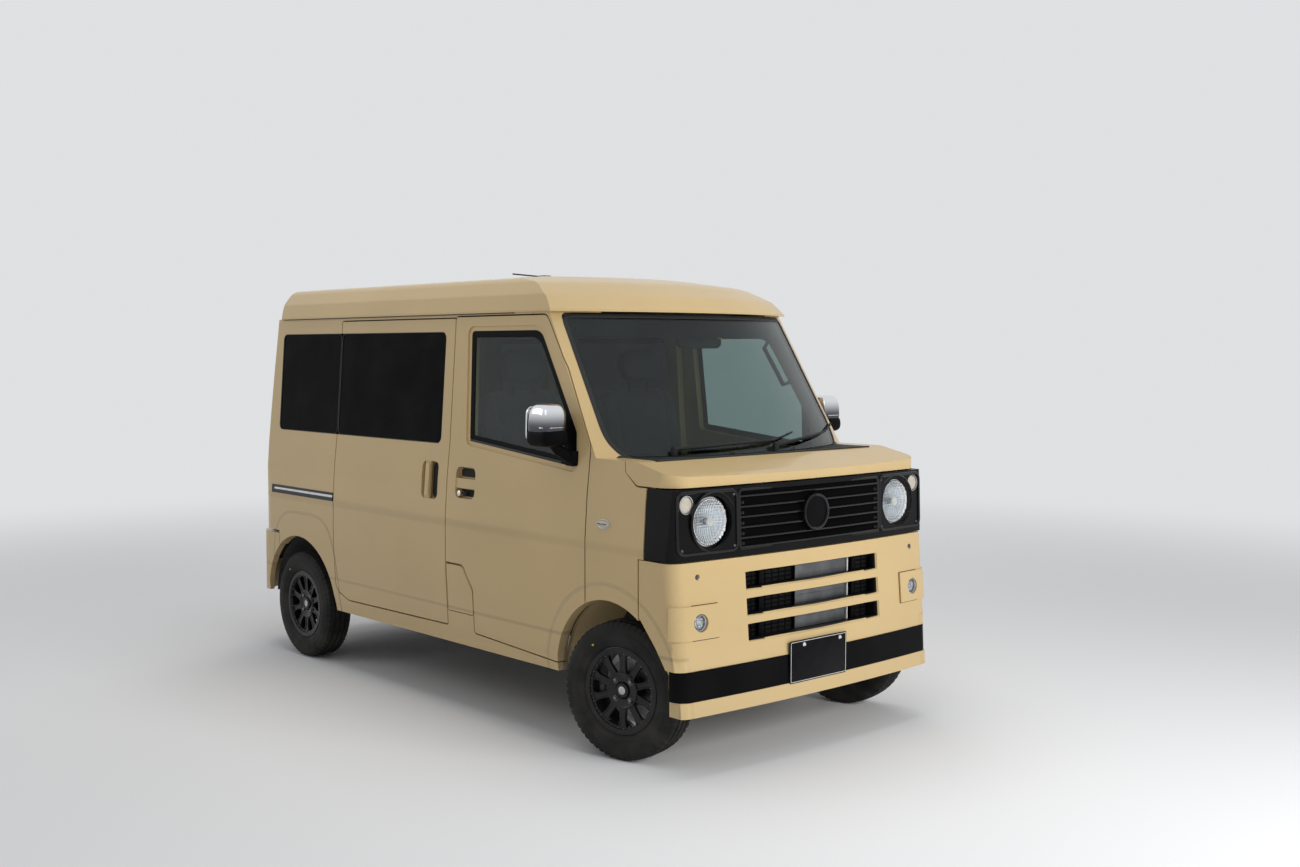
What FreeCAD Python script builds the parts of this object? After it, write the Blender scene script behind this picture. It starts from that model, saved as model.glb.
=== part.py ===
import FreeCAD
import Part
import math
import os

V = FreeCAD.Vector
os.makedirs("parts", exist_ok=True)

# A high-roof kei van. Millimetres. X forward, Y to the car's left, Z up.
# The origin is on the ground under the middle of the vehicle.

# Overall sizes
LENGTH = 3395.0
WIDTH = 1475.0
HEIGHT = 1890.0
FRONT_OVERHANG = 416.5
REAR_OVERHANG = 528.5

# Clearances
PANEL_GAP = 6.0
MOVE_GAP = 6.0
SEAT_GAP = 0.3

# Wall thicknesses
DOOR_WALL = 46.0
ROOF_WALL = 36.0
BUMPER_WALL = 30.0
HOOD_WALL = 24.0
GRILLE_WALL = 22.0
GATE_WALL = 50.0
FLOOR_WALL = 18.0
GLASS = 5.0
LID_WALL = 14.0
FRAME_INNER = 88.0
FRAME_START = DOOR_WALL + MOVE_GAP

# Main places: ends, half width, axles, tracks
NOSE_X = LENGTH / 2.0
TAIL_X = -LENGTH / 2.0
HALF = WIDTH / 2.0
FRONT_AXLE_X = NOSE_X - FRONT_OVERHANG
REAR_AXLE_X = TAIL_X + REAR_OVERHANG
FRONT_TRACK = WIDTH - 170.0
REAR_TRACK = WIDTH - 175.0
ROOF_RISE = 174.0
BODY_TOP = HEIGHT - ROOF_RISE
BODY_BOTTOM = 285.0
WAIST_Z = 1150.0

# What reaches past the body on every side, for cutting and keeping shapes
BEYOND_X = NOSE_X + 100.0
BEHIND_X = TAIL_X - 100.0
BEYOND_Y = HALF + 160.0
BEYOND_Z = HEIGHT + 100.0
UNDER_Z = 100.0
WALL_Y = HALF - 257.5

# Body section: columns are height, and inset from the half width
SECTION = (
    (280.0, 24.0),
    (360.0, 12.0),
    (600.0, 0.0),
    (830.0, 0.0),
    (1000.0, 11.0),
    (WAIST_Z, 27.0),
    (BODY_TOP - 76.0, 62.0),
    (BODY_TOP, 66.0),
)

# Windscreen: a cylinder on a leaning axis through its foot, bent back at the body's sides
SCREEN_SLOPE = 0.645
SCREEN_FOOT_X = FRONT_AXLE_X + 99.3
SCREEN_TOP_Z = BODY_TOP - 26.0
SCREEN_TOP_X = SCREEN_FOOT_X - SCREEN_SLOPE * (SCREEN_TOP_Z - WAIST_Z)
SCREEN_BEND = 195.7747
SCREEN_RADIUS = (HALF ** 2 + SCREEN_BEND ** 2) / (2.0 * SCREEN_BEND)
SCREEN_OUTLINE = (
    (HALF - 103.5, BODY_TOP - 4.0, 25.0),
    (HALF - 75.5, WAIST_Z, 95.0),
)

# Roof section: columns are half width, height, and corner radius
ROOF_HALF = HALF - 53.5
ROOF_LEDGE = 8.0
ROOF_SECTION = (
    (ROOF_HALF, BODY_TOP, 0.0),
    (ROOF_HALF, BODY_TOP + ROOF_LEDGE, 4.0),
    (ROOF_HALF - 27.0, HEIGHT - 100.0, 30.0),
    (ROOF_HALF - 96.0, HEIGHT - 28.0, 90.0),
    (ROOF_HALF - 384.0, HEIGHT, 2500.0),
)

# Roof side profile at the front: distance back from its edge, height, corner radius
ROOF_BOW = 1273.8
ROOF_EDGE_X = SCREEN_TOP_X + 14.0
ROOF_AXIS_X = SCREEN_TOP_X - ROOF_BOW
ROOF_FRONT = (
    (0.0, BODY_TOP, 0.0),
    (0.0, BODY_TOP + ROOF_LEDGE, 5.0),
    (61.0, HEIGHT - 108.0, 60.0),
    (196.0, HEIGHT - 48.0, 300.0),
    (446.0, HEIGHT - 12.0, 800.0),
    (796.0, HEIGHT, 2000.0),
)
ROOF_REAR_X = TAIL_X + 141.5
ROOF_REAR_LEAN = 70.0
ROOF_REAR_BOW = 4000.0
ROOF_REAR_CORNER = 150.0
ROOF_SKIRT = 60.0

# Front end in plan
FRONT_BOW = 8000.0
BUMPER_LEAN = -0.078
BUMPER_BOTTOM = 227.0
BUMPER_TOP = 788.0
BUMPER_CORNER = 62.0
BUMPER_HALF = HALF - 1.5
BUMPER_SEAM_X = FRONT_AXLE_X + 157.0
BUMPER_SIDE_Z = 573.0
BUMPER_REAR_EDGE = (
    (BUMPER_SEAM_X + PANEL_GAP, BUMPER_TOP + 10.0, 0.0),
    (BUMPER_SEAM_X + PANEL_GAP, BUMPER_SIDE_Z, 0.0),
    (BUMPER_SEAM_X + 92.0, 470.0, 120.0),
    (BUMPER_SEAM_X + 152.0, 380.0, 0.0),
    (BUMPER_SEAM_X + 152.0, 200.0, 0.0),
    (BEYOND_X, 200.0, 0.0),
    (BEYOND_X, BUMPER_TOP + 10.0, 0.0),
)
SLOT_HALF = HALF - 352.5
# Bumper slots: bottom, top
SLOTS = ((663.0, 732.0), (565.0, 633.0), (469.0, 537.0))
PAD_RISE = 8.0
PAD_INNER_Y = HALF - 205.5
PAD_BACK_X = NOSE_X - 91.5
PAD_Z = (508.0, 632.0)
STRIP_Z = (284.0, 396.0)
STRIP_DEPTH = 12.0
STRIP_WALL = 6.0
STRIP_HALF = BUMPER_HALF - 16.0
STRIP_BACK_X = NOSE_X - 101.5

GRILLE_FRONT = NOSE_X - 47.5
GRILLE_HALF = HALF - 2.5
GRILLE_BOTTOM = 793.0
GRILLE_TOP = 1055.0
GRILLE_LEAN = -8.0
GRILLE_CORNER = 36.0
GRILLE_SEAM_X = FRONT_AXLE_X + 187.0
LOUVRE_HALF = HALF - 332.5
LOUVRE_DEPTH = 13.0
LOUVRE_EDGES = (821.0, 855.0, 895.0, 934.0, 972.0, 1012.0)
LOUVRE_TOP = 1036.0
DISC_Z = 931.0
DISC_RADIUS = 73.0
DISC_WALL_FRONT = 26.0

# Lamps: distance in from the half width, height, lens radius, recess radius
HEAD_LAMP = (198.9, 929.4, 88.0, 98.0)
SMALL_LAMP = (79.3, 999.2, 33.0, 36.0)
FOG_LAMP = (119.7, 567.9, 33.0)
LAMP_FLOOR_X = NOSE_X - 107.5
SMALL_FLOOR_X = NOSE_X - 115.5
FOG_BACK_X = NOSE_X - 81.5
LAMP_CUP = 29.0

HOOD_FRONT = NOSE_X - 63.5
HOOD_CORNER = 92.0
HOOD_BOTTOM = 1060.0
HOOD_HALF = HALF - 17.5
HOOD_TOP_Z = 1147.0
HOOD_LOW_Z = 1000.0
HOOD_HINGE_X = FRONT_AXLE_X + 55.0
HOOD_PROFILE = (
    (BEYOND_X, HOOD_LOW_Z, 0.0),
    (BEYOND_X, 1042.0, 0.0),
    (HOOD_FRONT - 38.0, 1104.0, 60.0),
    (FRONT_AXLE_X + 119.0, HOOD_TOP_Z, 200.0),
    (FRONT_AXLE_X - 281.0, HOOD_TOP_Z, 0.0),
    (FRONT_AXLE_X - 281.0, HOOD_LOW_Z, 0.0),
)
HOOD_SEAM_Z = 1106.0
COWL_HALF = HALF - 117.5
COWL_BACK_X = FRONT_AXLE_X - 55.0
COWL_FRONT_X = FRONT_AXLE_X + 131.0
WIPER_LIFT = 20.0
# Wipers: root and tip across the car, and the tip's height
WIPERS = ((307.5 - HALF, 60.0, 1186.0), (60.0, HALF - 237.5, 1200.0))

# Number plates and tow eye
PLATE_PITCH = 210.0
PLATE_HOLE = 3.0
PLATE_SEAT_X = NOSE_X - 7.5
PLATE_BOLT_Z = 426.0
PLATE_PAD = (14.0, 28.0)
REAR_PLATE_BOLT_Z = 520.0
TOW_EYE_X = NOSE_X - 141.5
TOW_EYE_Z = 358.0
TOW_EYE_RADIUS = 14.0

# Rear end in plan
REAR_FRONT = TAIL_X + 45.5
REAR_BOW = 3600.0
REAR_CORNER = 150.0
REAR_BREAK_Z = 950.0
REAR_LEAN = 112.0
REAR_BUMPER_CORNER = 170.0
REAR_BUMPER_WALL = 40.0
REAR_BUMPER_Z = (300.0, 614.0)
REAR_BUMPER_EDGE = 206.0
# Tail lamps: inner and outer distance in from the half width, bottom, top
TAIL_LAMP = (217.5, 97.5, 440.0, 600.0)

# Wheels and tyres
TYRE_RADIUS = 268.0
TYRE_WIDTH = 145.0
TYRE_BEAD = 153.0
TYRE_SHOULDER = 10.0
TREAD_HALF = 52.0
BULGE_RADIUS = 215.0
RIM_LIP = 168.0
RIM_WIDTH = 118.0
RIM_WALL = 6.0
RIM_FLANGE = 3.5
DISC_FACE = 42.0
DISC_WALL = 14.0
HUB_RADIUS = 42.0
HUB_RISE = 8.0
HUB_INNER = 2.0
SPOKES = 10
# Opening between two spokes: radius, half width, corner radius
SPOKE_WINDOW = ((70.0, 9.0, 6.0), (136.0, 24.0, 10.0))

# Steering and front suspension
KINGPIN_Y = FRONT_TRACK / 2.0 - 52.5
REST_STEER = 12.5
BALL_RADIUS = 22.0
KNUCKLE_BOTTOM = 206.0
KNUCKLE_TOP = 346.0
STUB_RADIUS = 30.0
BRAKE_DISC = (112.0, 8.0, 26.0)

# Wheel arches
FRONT_ARCH_X = FRONT_AXLE_X - 19.0
FRONT_ARCH_Z = 287.0
FRONT_ARCH_RADIUS = 326.0
REAR_ARCH_X = REAR_AXLE_X
REAR_ARCH_Z = TYRE_RADIUS
REAR_ARCH_RADIUS = 350.0

# Doors: x, height, corner radius
DOOR_REAR_X = FRONT_AXLE_X - 1109.0
DOOR_FRONT_X = FRONT_AXLE_X - 153.0
DOOR_TOP = BODY_TOP - 14.0
DOOR_LOW_REAR = 354.0
DOOR_LOW_FRONT = 312.0
PILLAR_FOOT_Z = 1200.0
PILLAR_RISE = DOOR_TOP - PILLAR_FOOT_Z
PILLAR_RUN = 0.63 * PILLAR_RISE
DOOR_REAR_FULL = (
    (DOOR_REAR_X, DOOR_TOP, 12.0),
    (DOOR_REAR_X, DOOR_LOW_REAR + 11.0, 12.0),
)
DOOR_REAR_STEPPED = (
    (DOOR_REAR_X, DOOR_TOP, 12.0),
    (DOOR_REAR_X, 640.0, 6.0),
    (DOOR_REAR_X + 128.0, 640.0, 40.0),
    (DOOR_REAR_X + 200.0, 540.0, 20.0),
    (DOOR_REAR_X + 200.0, DOOR_LOW_REAR, 12.0),
)
DOOR_REST = (
    (DOOR_FRONT_X, DOOR_LOW_FRONT, 0.0),
    (DOOR_FRONT_X, PILLAR_FOOT_Z, 60.0),
    (DOOR_FRONT_X - 0.538 * PILLAR_RUN, PILLAR_FOOT_Z + 0.578 * PILLAR_RISE, 80.0),
    (DOOR_FRONT_X - PILLAR_RUN, DOOR_TOP, 40.0),
)
WINDOW_TOP = BODY_TOP - 74.0
WINDOW_SLOPE = 0.6517
WINDOW_FRONT_X = DOOR_FRONT_X - 94.0
WINDOW_FRONT_Z = 1240.0
FRONT_WINDOW = (
    (DOOR_REAR_X + 112.0, WINDOW_TOP, 18.0),
    (DOOR_REAR_X + 138.0, 1172.0, 18.0),
    (DOOR_FRONT_X - 86.0, 1104.0, 18.0),
    (WINDOW_FRONT_X, WINDOW_FRONT_Z, 30.0),
    (WINDOW_FRONT_X - WINDOW_SLOPE * (WINDOW_TOP - WINDOW_FRONT_Z), WINDOW_TOP, 75.0),
)
SURROUND_WIDTH = 20.0
SURROUND_DEPTH = 7.0
FRONT_GLASS_DEPTH = 12.0
SLIDING_REAR_X = REAR_AXLE_X + 357.0
SLIDING_DOOR = (
    (DOOR_REAR_X, DOOR_TOP, 12.0),
    (DOOR_REAR_X, 358.0, 12.0),
    (SLIDING_REAR_X + 122.0, 348.0, 40.0),
    (SLIDING_REAR_X, 390.0, 60.0),
    (SLIDING_REAR_X, DOOR_TOP, 12.0),
)
PILLAR_X = (DOOR_REAR_X - 42.0, DOOR_REAR_X + 42.0)
REAR_PILLAR_X = (SLIDING_REAR_X - 68.0, SLIDING_REAR_X - 18.0)
PAD_SPAN = 24.0
RAIL_X = (REAR_AXLE_X - 271.0, SLIDING_REAR_X)
RAIL_Z = (824.0, 865.0)
RAIL_DEPTH = 8.0
FUEL_LID = (
    (DOOR_REAR_X + 4.0, 632.0, 5.0),
    (DOOR_REAR_X + 116.0, 632.0, 38.0),
    (DOOR_REAR_X + 192.0, 532.0, 20.0),
    (DOOR_REAR_X + 192.0, 428.0, 5.0),
    (DOOR_REAR_X + 4.0, 428.0, 5.0),
)
REAR_GLASS_TOP = BODY_TOP - 76.0
REAR_GLASS_REAR = REAR_AXLE_X - 236.0
REAR_GLASS_FRONT = DOOR_REAR_X - 72.0
REAR_GLASS_DEPTH = 4.0
REAR_GLASS_FLANGE = 16.0
REAR_PANE_LAP = 30.0
WINDOW_CORNER = 32.0

# Door handles: rear and front x, bottom and top, and corner radius of the recess,
# and of the pull in it, whose ends run into the door
FRONT_HANDLE = (DOOR_REAR_X + 63.0, DOOR_REAR_X + 208.0, 925.0, 1060.0, 30.0)
FRONT_PULL = (DOOR_REAR_X + 59.0, DOOR_REAR_X + 212.0, 968.0, 1010.0, 3.0)
SLIDING_HANDLE = (DOOR_REAR_X - 204.0, DOOR_REAR_X - 75.0, 905.0, 1070.0, 26.0)
SLIDING_PULL = (DOOR_REAR_X - 184.0, DOOR_REAR_X - 144.0, 901.0, 1074.0, 3.0)
HANDLE_DEPTH = 26.0
PULL_DEPTH = (4.0, 14.0)

# Tailgate: outline of half width and height, its window, and its handle recess
GATE_BOTTOM = 641.0
GATE_TOP = BODY_TOP - 16.0
GATE_OUTLINE = (
    (HALF - 147.5, GATE_TOP, 40.0),
    (HALF - 97.5, 1000.0, 200.0),
    (HALF - 97.5, GATE_BOTTOM, 30.0),
)
GATE_WINDOW = (
    (HALF - 217.5, BODY_TOP - 116.0, 40.0),
    (HALF - 177.5, 1130.0, 40.0),
)
GATE_GLASS_DEPTH = 6.0
GATE_HANDLE = (150.0, 700.0, 762.0, 20.0)
GATE_HANDLE_DEPTH = 22.0

# Floor: x and height of the upper face's corners
FLOOR_Z = 635.0
FOOT_Z = 440.0
SEAT_BASE_Z = 722.0
FLOOR_LINE = (
    (REAR_AXLE_X - 421.0, FLOOR_Z),
    (FRONT_AXLE_X - 1241.0, FLOOR_Z),
    (FRONT_AXLE_X - 1221.0, SEAT_BASE_Z),
    (FRONT_AXLE_X - 651.0, SEAT_BASE_Z),
    (FRONT_AXLE_X - 621.0, FOOT_Z),
    (FRONT_AXLE_X - 376.0, FOOT_Z),
    (FRONT_AXLE_X - 201.0, 665.0),
    (FRONT_AXLE_X + 159.0, 665.0),
    (FRONT_AXLE_X + 181.0, 1080.0),
)
# How far the lower face's corners stand ahead of the upper ones
FLOOR_SHIFT = (0.0, 14.0, 14.0, -16.0, -16.0, 8.0, 8.0, 17.0, 18.0)
FLOOR_HALF = HALF - 88.3
SILL_REAR_X = TAIL_X + 72.5
SILL_HALF = HALF - 277.5
GATE_PAD_Y = (HALF - 457.5, HALF - 397.5)
RAIL_TOP = FLOOR_Z - FLOOR_WALL - SEAT_GAP

# Chassis rails: inner and outer half distance, and the side outline
RAIL_INNER_Y = HALF - 397.5
RAIL_OUTER_Y = HALF - 337.5
RAIL_REAR_X = REAR_AXLE_X - 431.0
RAIL_FRONT_X = FRONT_AXLE_X + 299.0
RAIL_OUTLINE = (
    (RAIL_REAR_X, RAIL_TOP, 0.0),
    (RAIL_REAR_X, 510.0, 0.0),
    (RAIL_REAR_X + 200.0, 510.0, 0.0),
    (REAR_AXLE_X + 369.0, 400.0, 100.0),
    (FRONT_AXLE_X - 581.0, 330.0, 100.0),
    (FRONT_AXLE_X - 281.0, 330.0, 100.0),
    (FRONT_AXLE_X - 81.0, 400.0, 100.0),
    (RAIL_FRONT_X, 400.0, 0.0),
    (RAIL_FRONT_X, 480.0, 0.0),
    (FRONT_AXLE_X - 101.0, 480.0, 100.0),
    (FRONT_AXLE_X - 301.0, 415.0, 100.0),
    (FRONT_AXLE_X - 581.0, 415.0, 100.0),
    (REAR_AXLE_X + 389.0, 500.0, 100.0),
    (REAR_AXLE_X - 211.0, RAIL_TOP, 100.0),
)
# Crossmembers: rear x and bottom
CROSSMEMBERS = (
    (RAIL_REAR_X + 10.0, 560.0),
    (REAR_AXLE_X + 549.0, 420.0),
    (FRONT_AXLE_X - 441.0, 350.0),
    (FRONT_AXLE_X + 259.0, 410.0),
)
CROSS_WIDTH = 40.0
CROSS_HEIGHT = 30.0
BRACKET_Y = (HALF - 392.5, HALF - 342.5)

# Engine under the front seats, with its gearbox behind
ENGINE_X = (FRONT_AXLE_X - 1191.0, FRONT_AXLE_X - 691.0)
ENGINE_Z = (330.0, 690.0)
ENGINE_HALF_WIDTH = HALF - 467.5
GEARBOX_REAR_X = ENGINE_X[0] - 510.0
GEARBOX_HALF = 130.0
GEARBOX_TOP = 560.0
MOUNT_X = (FRONT_AXLE_X - 981.0, FRONT_AXLE_X - 921.0)
MOUNT_Z = (360.0, 400.0)

# Rear axle, tank, exhaust, radiator
AXLE_TUBE = 32.0
DIFF_RADIUS = 105.0
DRUM = (110.0, 60.0)
SPRING_Y = HALF - 267.5
SPRING_RADIUS = 46.0
LINK_Y = HALF - 297.5
LINK_FRONT = (REAR_AXLE_X + 469.0, 330.0)
LINK_RADIUS = 20.0
SHAFT_RADIUS = 30.0
FLANGE_RADIUS = 38.0
TANK_X = (REAR_AXLE_X + 609.0, REAR_AXLE_X + 1109.0)
TANK_Z = (300.0, 500.0)
TANK_OUTER_Y = HALF - 147.5
TANK_CORNER = 40.0
SILENCER = (REAR_AXLE_X - 391.0, 400.0, 75.0, HALF - 487.5)
TAIL_PIPE = (70.0 - SILENCER[3], 350.0, 262.0, 18.0)
HANGER_Y = SILENCER[3] - 100.0
RADIATOR_X = (FRONT_AXLE_X + 264.0, FRONT_AXLE_X + 294.0)
RADIATOR_Y = (-120.0, 240.0)
RADIATOR_TOP = 775.0

# Cabin
SEAT_Y = HALF - 392.5
SEAT_HALF = SEAT_Y - 110.0
SEAT_REAR_X = FRONT_AXLE_X - 1019.0
SEAT_TOP = HEIGHT - 500.0
BACK_THICKNESS = 80.0
# Head rest: x and height offsets from the seat's rear and top, corner radius
HEAD_REST = ((-82.0, 15.0, 30.0), (-2.0, 15.0, 30.0), (-22.0, 180.0, 35.0), (-97.0, 180.0, 35.0))
HEAD_HALF = SEAT_HALF / 2.0
POST_Y = HEAD_HALF / 2.0
BENCH_REAR_X = REAR_AXLE_X + 409.0
BENCH_HALF = HALF - 177.5
BENCH_TOP = HEIGHT - 690.0
DASH_FRONT_X = FRONT_AXLE_X + 158.0
DASH_HALF = HALF - 125.5
COWL_LOW = 1106.0
DASH_OUTLINE = (
    (DASH_FRONT_X, COWL_LOW - SEAT_GAP, 10.0),
    (FRONT_AXLE_X - 161.0, COWL_LOW - SEAT_GAP, 40.0),
    (FRONT_AXLE_X - 241.0, 1060.0, 40.0),
    (FRONT_AXLE_X - 216.0, 860.0, 40.0),
    (FRONT_AXLE_X - 121.0, 800.0, 40.0),
    (DASH_FRONT_X, 800.0, 10.0),
)
STEER_HUB = V(FRONT_AXLE_X - 376.0, -SEAT_Y, 1020.0)
COLUMN_WAY = V(0.62, 0.0, -0.785)
COLUMN_RADIUS = 34.0
COLUMN_LENGTH = 410.0
STEER_RING = (175.0, 13.0)
STEER_BOSS = (52.0, 40.0)
STEER_SPOKE = 11.0

# Door mirror: outline of x, height, corner radius, and its foot's
MIRROR_HOUSING = (
    (DOOR_FRONT_X - 223.0, 1185.0, 35.0),
    (DOOR_FRONT_X - 68.0, 1185.0, 35.0),
    (DOOR_FRONT_X - 63.0, 1355.0, 45.0),
    (DOOR_FRONT_X - 203.0, 1355.0, 45.0),
)
MIRROR_FOOT = (
    (DOOR_FRONT_X - 143.0, 1115.0, 10.0),
    (DOOR_FRONT_X - 68.0, 1108.0, 10.0),
    (DOOR_FRONT_X - 68.0, 1165.0, 10.0),
    (DOOR_FRONT_X - 143.0, 1170.0, 10.0),
)
MIRROR_Y = (HALF + 7.5, HALF + 130.5)
MIRROR_FOOT_Y = (HALF - 47.5, HALF + 62.5)
MIRROR_ARM = 18.0

# Antenna on the roof: foot's middle x, half length, half width, height; rod's run back and rise
ANTENNA_X = -80.0
ANTENNA_FOOT = (60.0, 18.0, 26.0)
ANTENNA_ROD = (250.0, 24.0, 3.5)


def rounded_wire(rows, place):
    """A closed wire through rows of a, b and corner radius, with tangent arcs at the corners."""
    count = len(rows)
    points = [V(row[0], row[1], 0) for row in rows]
    edges = []
    ends = []
    for index in range(count):
        here = points[index]
        back = (points[index - 1] - here).normalize()
        ahead = (points[(index + 1) % count] - here).normalize()
        radius = rows[index][2]
        angle = back.getAngle(ahead)
        if radius <= 0.0 or angle > math.pi - 1e-4:
            ends.append((here, None, here))
            continue
        reach = radius / math.tan(angle / 2.0)
        middle_way = (back + ahead).normalize()
        corner_gap = radius / math.sin(angle / 2.0) - radius
        ends.append((here + back * reach, here + middle_way * corner_gap, here + ahead * reach))
    for index in range(count):
        start, middle, stop = ends[index]
        if middle is not None:
            edges.append(Part.Arc(place(start), place(middle), place(stop)).toShape())
        following = ends[(index + 1) % count][0]
        if (following - stop).Length > 1e-6:
            edges.append(Part.LineSegment(place(stop), place(following)).toShape())
    return Part.Wire(edges)


def side_prism(rows, y0, y1):
    """An outline in x and z, pushed from y0 to y1."""
    wire = rounded_wire(rows, lambda p: V(p.x, y0, p.y))
    return Part.Face(wire).extrude(V(0, y1 - y0, 0))


def cross_prism(rows, x0, x1):
    """An outline in y and z, pushed from x0 to x1."""
    wire = rounded_wire(rows, lambda p: V(x0, p.x, p.y))
    return Part.Face(wire).extrude(V(x1 - x0, 0, 0))


def box(x0, x1, y0, y1, z0, z1):
    return Part.makeBox(x1 - x0, y1 - y0, z1 - z0, V(x0, y0, z0))


def side_box(side, x0, x1, inner, outer, z0, z1):
    """A box between two distances from the middle plane, on the right (-1) or the left (1)."""
    y0, y1 = sorted((side * inner, side * outer))
    return box(x0, x1, y0, y1, z0, z1)


def bar(start, stop, radius):
    """A round bar between two points."""
    run = stop - start
    return Part.makeCylinder(radius, run.Length, start, run)


def along_x(x, y, z, radius, length):
    """A round bar along x."""
    return Part.makeCylinder(radius, length, V(x, y, z), V(1, 0, 0))


def mirrored(shape):
    """The same shape on the other side of the car."""
    return shape.mirror(V(0, 0, 0), V(0, 1, 0))


def both_sides(rows):
    """Half rows of half width and height made into a full, closed list."""
    return list(rows) + [(-row[0],) + tuple(row[1:]) for row in reversed(rows)]


def inset_half(inset):
    """The body section's rows of half width and height, pulled in by inset."""
    return [(HALF - row[1] - inset, row[0], 0.0) for row in SECTION]


def section_prism(inset, x0, x1):
    """The body's cross-section, pulled in by inset, from x0 to x1."""
    return cross_prism(both_sides(inset_half(inset)), x0, x1)


def wall_band(outer, inner, x0, x1, z0, z1):
    """A strip of the right-hand wall between two insets."""
    out = [(-half, z, 0.0) for half, z, _ in inset_half(outer)]
    back = [(-half, z, 0.0) for half, z, _ in reversed(inset_half(inner))]
    band = cross_prism(out + back, x0, x1)
    if z0 <= SECTION[0][0] and z1 >= SECTION[-1][0]:
        return band
    return band.common(box(x0 - 1, x1 + 1, -BEYOND_Y, 0, z0, z1))


def wall_pocket(rows, outer, inner):
    """An outline of x and z pushed through the right-hand wall between two insets."""
    xs = [row[0] for row in rows]
    band = wall_band(outer, inner, min(xs) - 1, max(xs) + 1, BODY_BOTTOM, BODY_TOP)
    return side_prism(rows, -BEYOND_Y, 0).common(band)


def bowed_plan(end_x, half, bow, corner, z):
    """A plan face with straight sides, a bowed end and tangent corner arcs; it closes at x = 0."""
    sign = 1.0 if end_x > 0 else -1.0
    end = abs(end_x)
    middle_u = end - bow
    corner_y = half - corner
    corner_u = middle_u + math.sqrt((bow - corner) ** 2 - corner_y ** 2)
    way = V(corner_u - middle_u, corner_y, 0).normalize()
    touch = V(middle_u + way.x * bow, way.y * bow, 0)
    middle_way = (way + V(0, 1, 0)).normalize()
    middle = V(corner_u + middle_way.x * corner, corner_y + middle_way.y * corner, 0)

    def at(u, y):
        return V(sign * u, y, z)

    edges = [
        Part.LineSegment(at(0, -half), at(corner_u, -half)).toShape(),
        Part.Arc(at(corner_u, -half), at(middle.x, -middle.y), at(touch.x, -touch.y)).toShape(),
        Part.Arc(at(touch.x, -touch.y), at(end, 0), at(touch.x, touch.y)).toShape(),
        Part.Arc(at(touch.x, touch.y), at(middle.x, middle.y), at(corner_u, half)).toShape(),
        Part.LineSegment(at(corner_u, half), at(0, half)).toShape(),
        Part.LineSegment(at(0, half), at(0, -half)).toShape(),
    ]
    return Part.Face(Part.Wire(edges))


def bowed_block(end_x, half, bow, corner, z0, z1, lean=0.0):
    """A bowed plan pushed up from z0 to z1, leaning along x."""
    return bowed_plan(end_x, half, bow, corner, z0).extrude(V(lean, 0, z1 - z0))


def screen_cylinder(inset):
    """The leaning cylinder whose front is the windscreen, pulled in by inset."""
    lean = math.sqrt(1.0 + SCREEN_SLOPE ** 2)
    front = SCREEN_TOP_X + SCREEN_SLOPE * (SCREEN_TOP_Z - UNDER_Z)
    base = V(front - SCREEN_RADIUS * lean, 0, UNDER_Z)
    axis = V(-SCREEN_SLOPE, 0, 1)
    return Part.makeCylinder(SCREEN_RADIUS - inset, BEYOND_Z * lean, base, axis)


def rear_cutter(inset):
    """What the rear of the body keeps inside: upright below the break, leaning above it."""
    half = HALF - inset
    end = REAR_FRONT + inset
    corner = REAR_CORNER - inset
    lean = REAR_LEAN * (BEYOND_Z - REAR_BREAK_Z) / (BODY_TOP - REAR_BREAK_Z)
    low = bowed_block(end, half, REAR_BOW - inset, corner, UNDER_Z, REAR_BREAK_Z)
    high = bowed_block(end, half, REAR_BOW - inset, corner, REAR_BREAK_Z, BEYOND_Z, lean)
    ahead = box(TAIL_X / 4.0, BEYOND_X, -BEYOND_Y, BEYOND_Y, UNDER_Z, BEYOND_Z)
    return low.fuse(high).fuse(ahead)


def body_envelope(inset, top):
    """The solid outline of the body without its roof cap."""
    drop = HOOD_WALL if inset > 0 else 0.0
    hood = [(x, z - drop if z > HOOD_LOW_Z else z, r) for x, z, r in HOOD_PROFILE]
    below_hood = side_prism(hood, -BEYOND_Y, BEYOND_Y)
    low_block = box(BEHIND_X, BEYOND_X, -BEYOND_Y, BEYOND_Y, UNDER_Z, HOOD_LOW_Z + 10.0)
    rear_block = box(BEHIND_X, 0.0, -BEYOND_Y, BEYOND_Y, UNDER_Z, BEYOND_Z)
    ahead = screen_cylinder(inset).fuse(below_hood).fuse(low_block).fuse(rear_block)
    shape = section_prism(inset, BEHIND_X, BEYOND_X).common(rear_cutter(inset))
    shape = shape.common(ahead)
    return shape.common(box(BEHIND_X, BEYOND_X, -BEYOND_Y, BEYOND_Y, BODY_BOTTOM, top))


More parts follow.
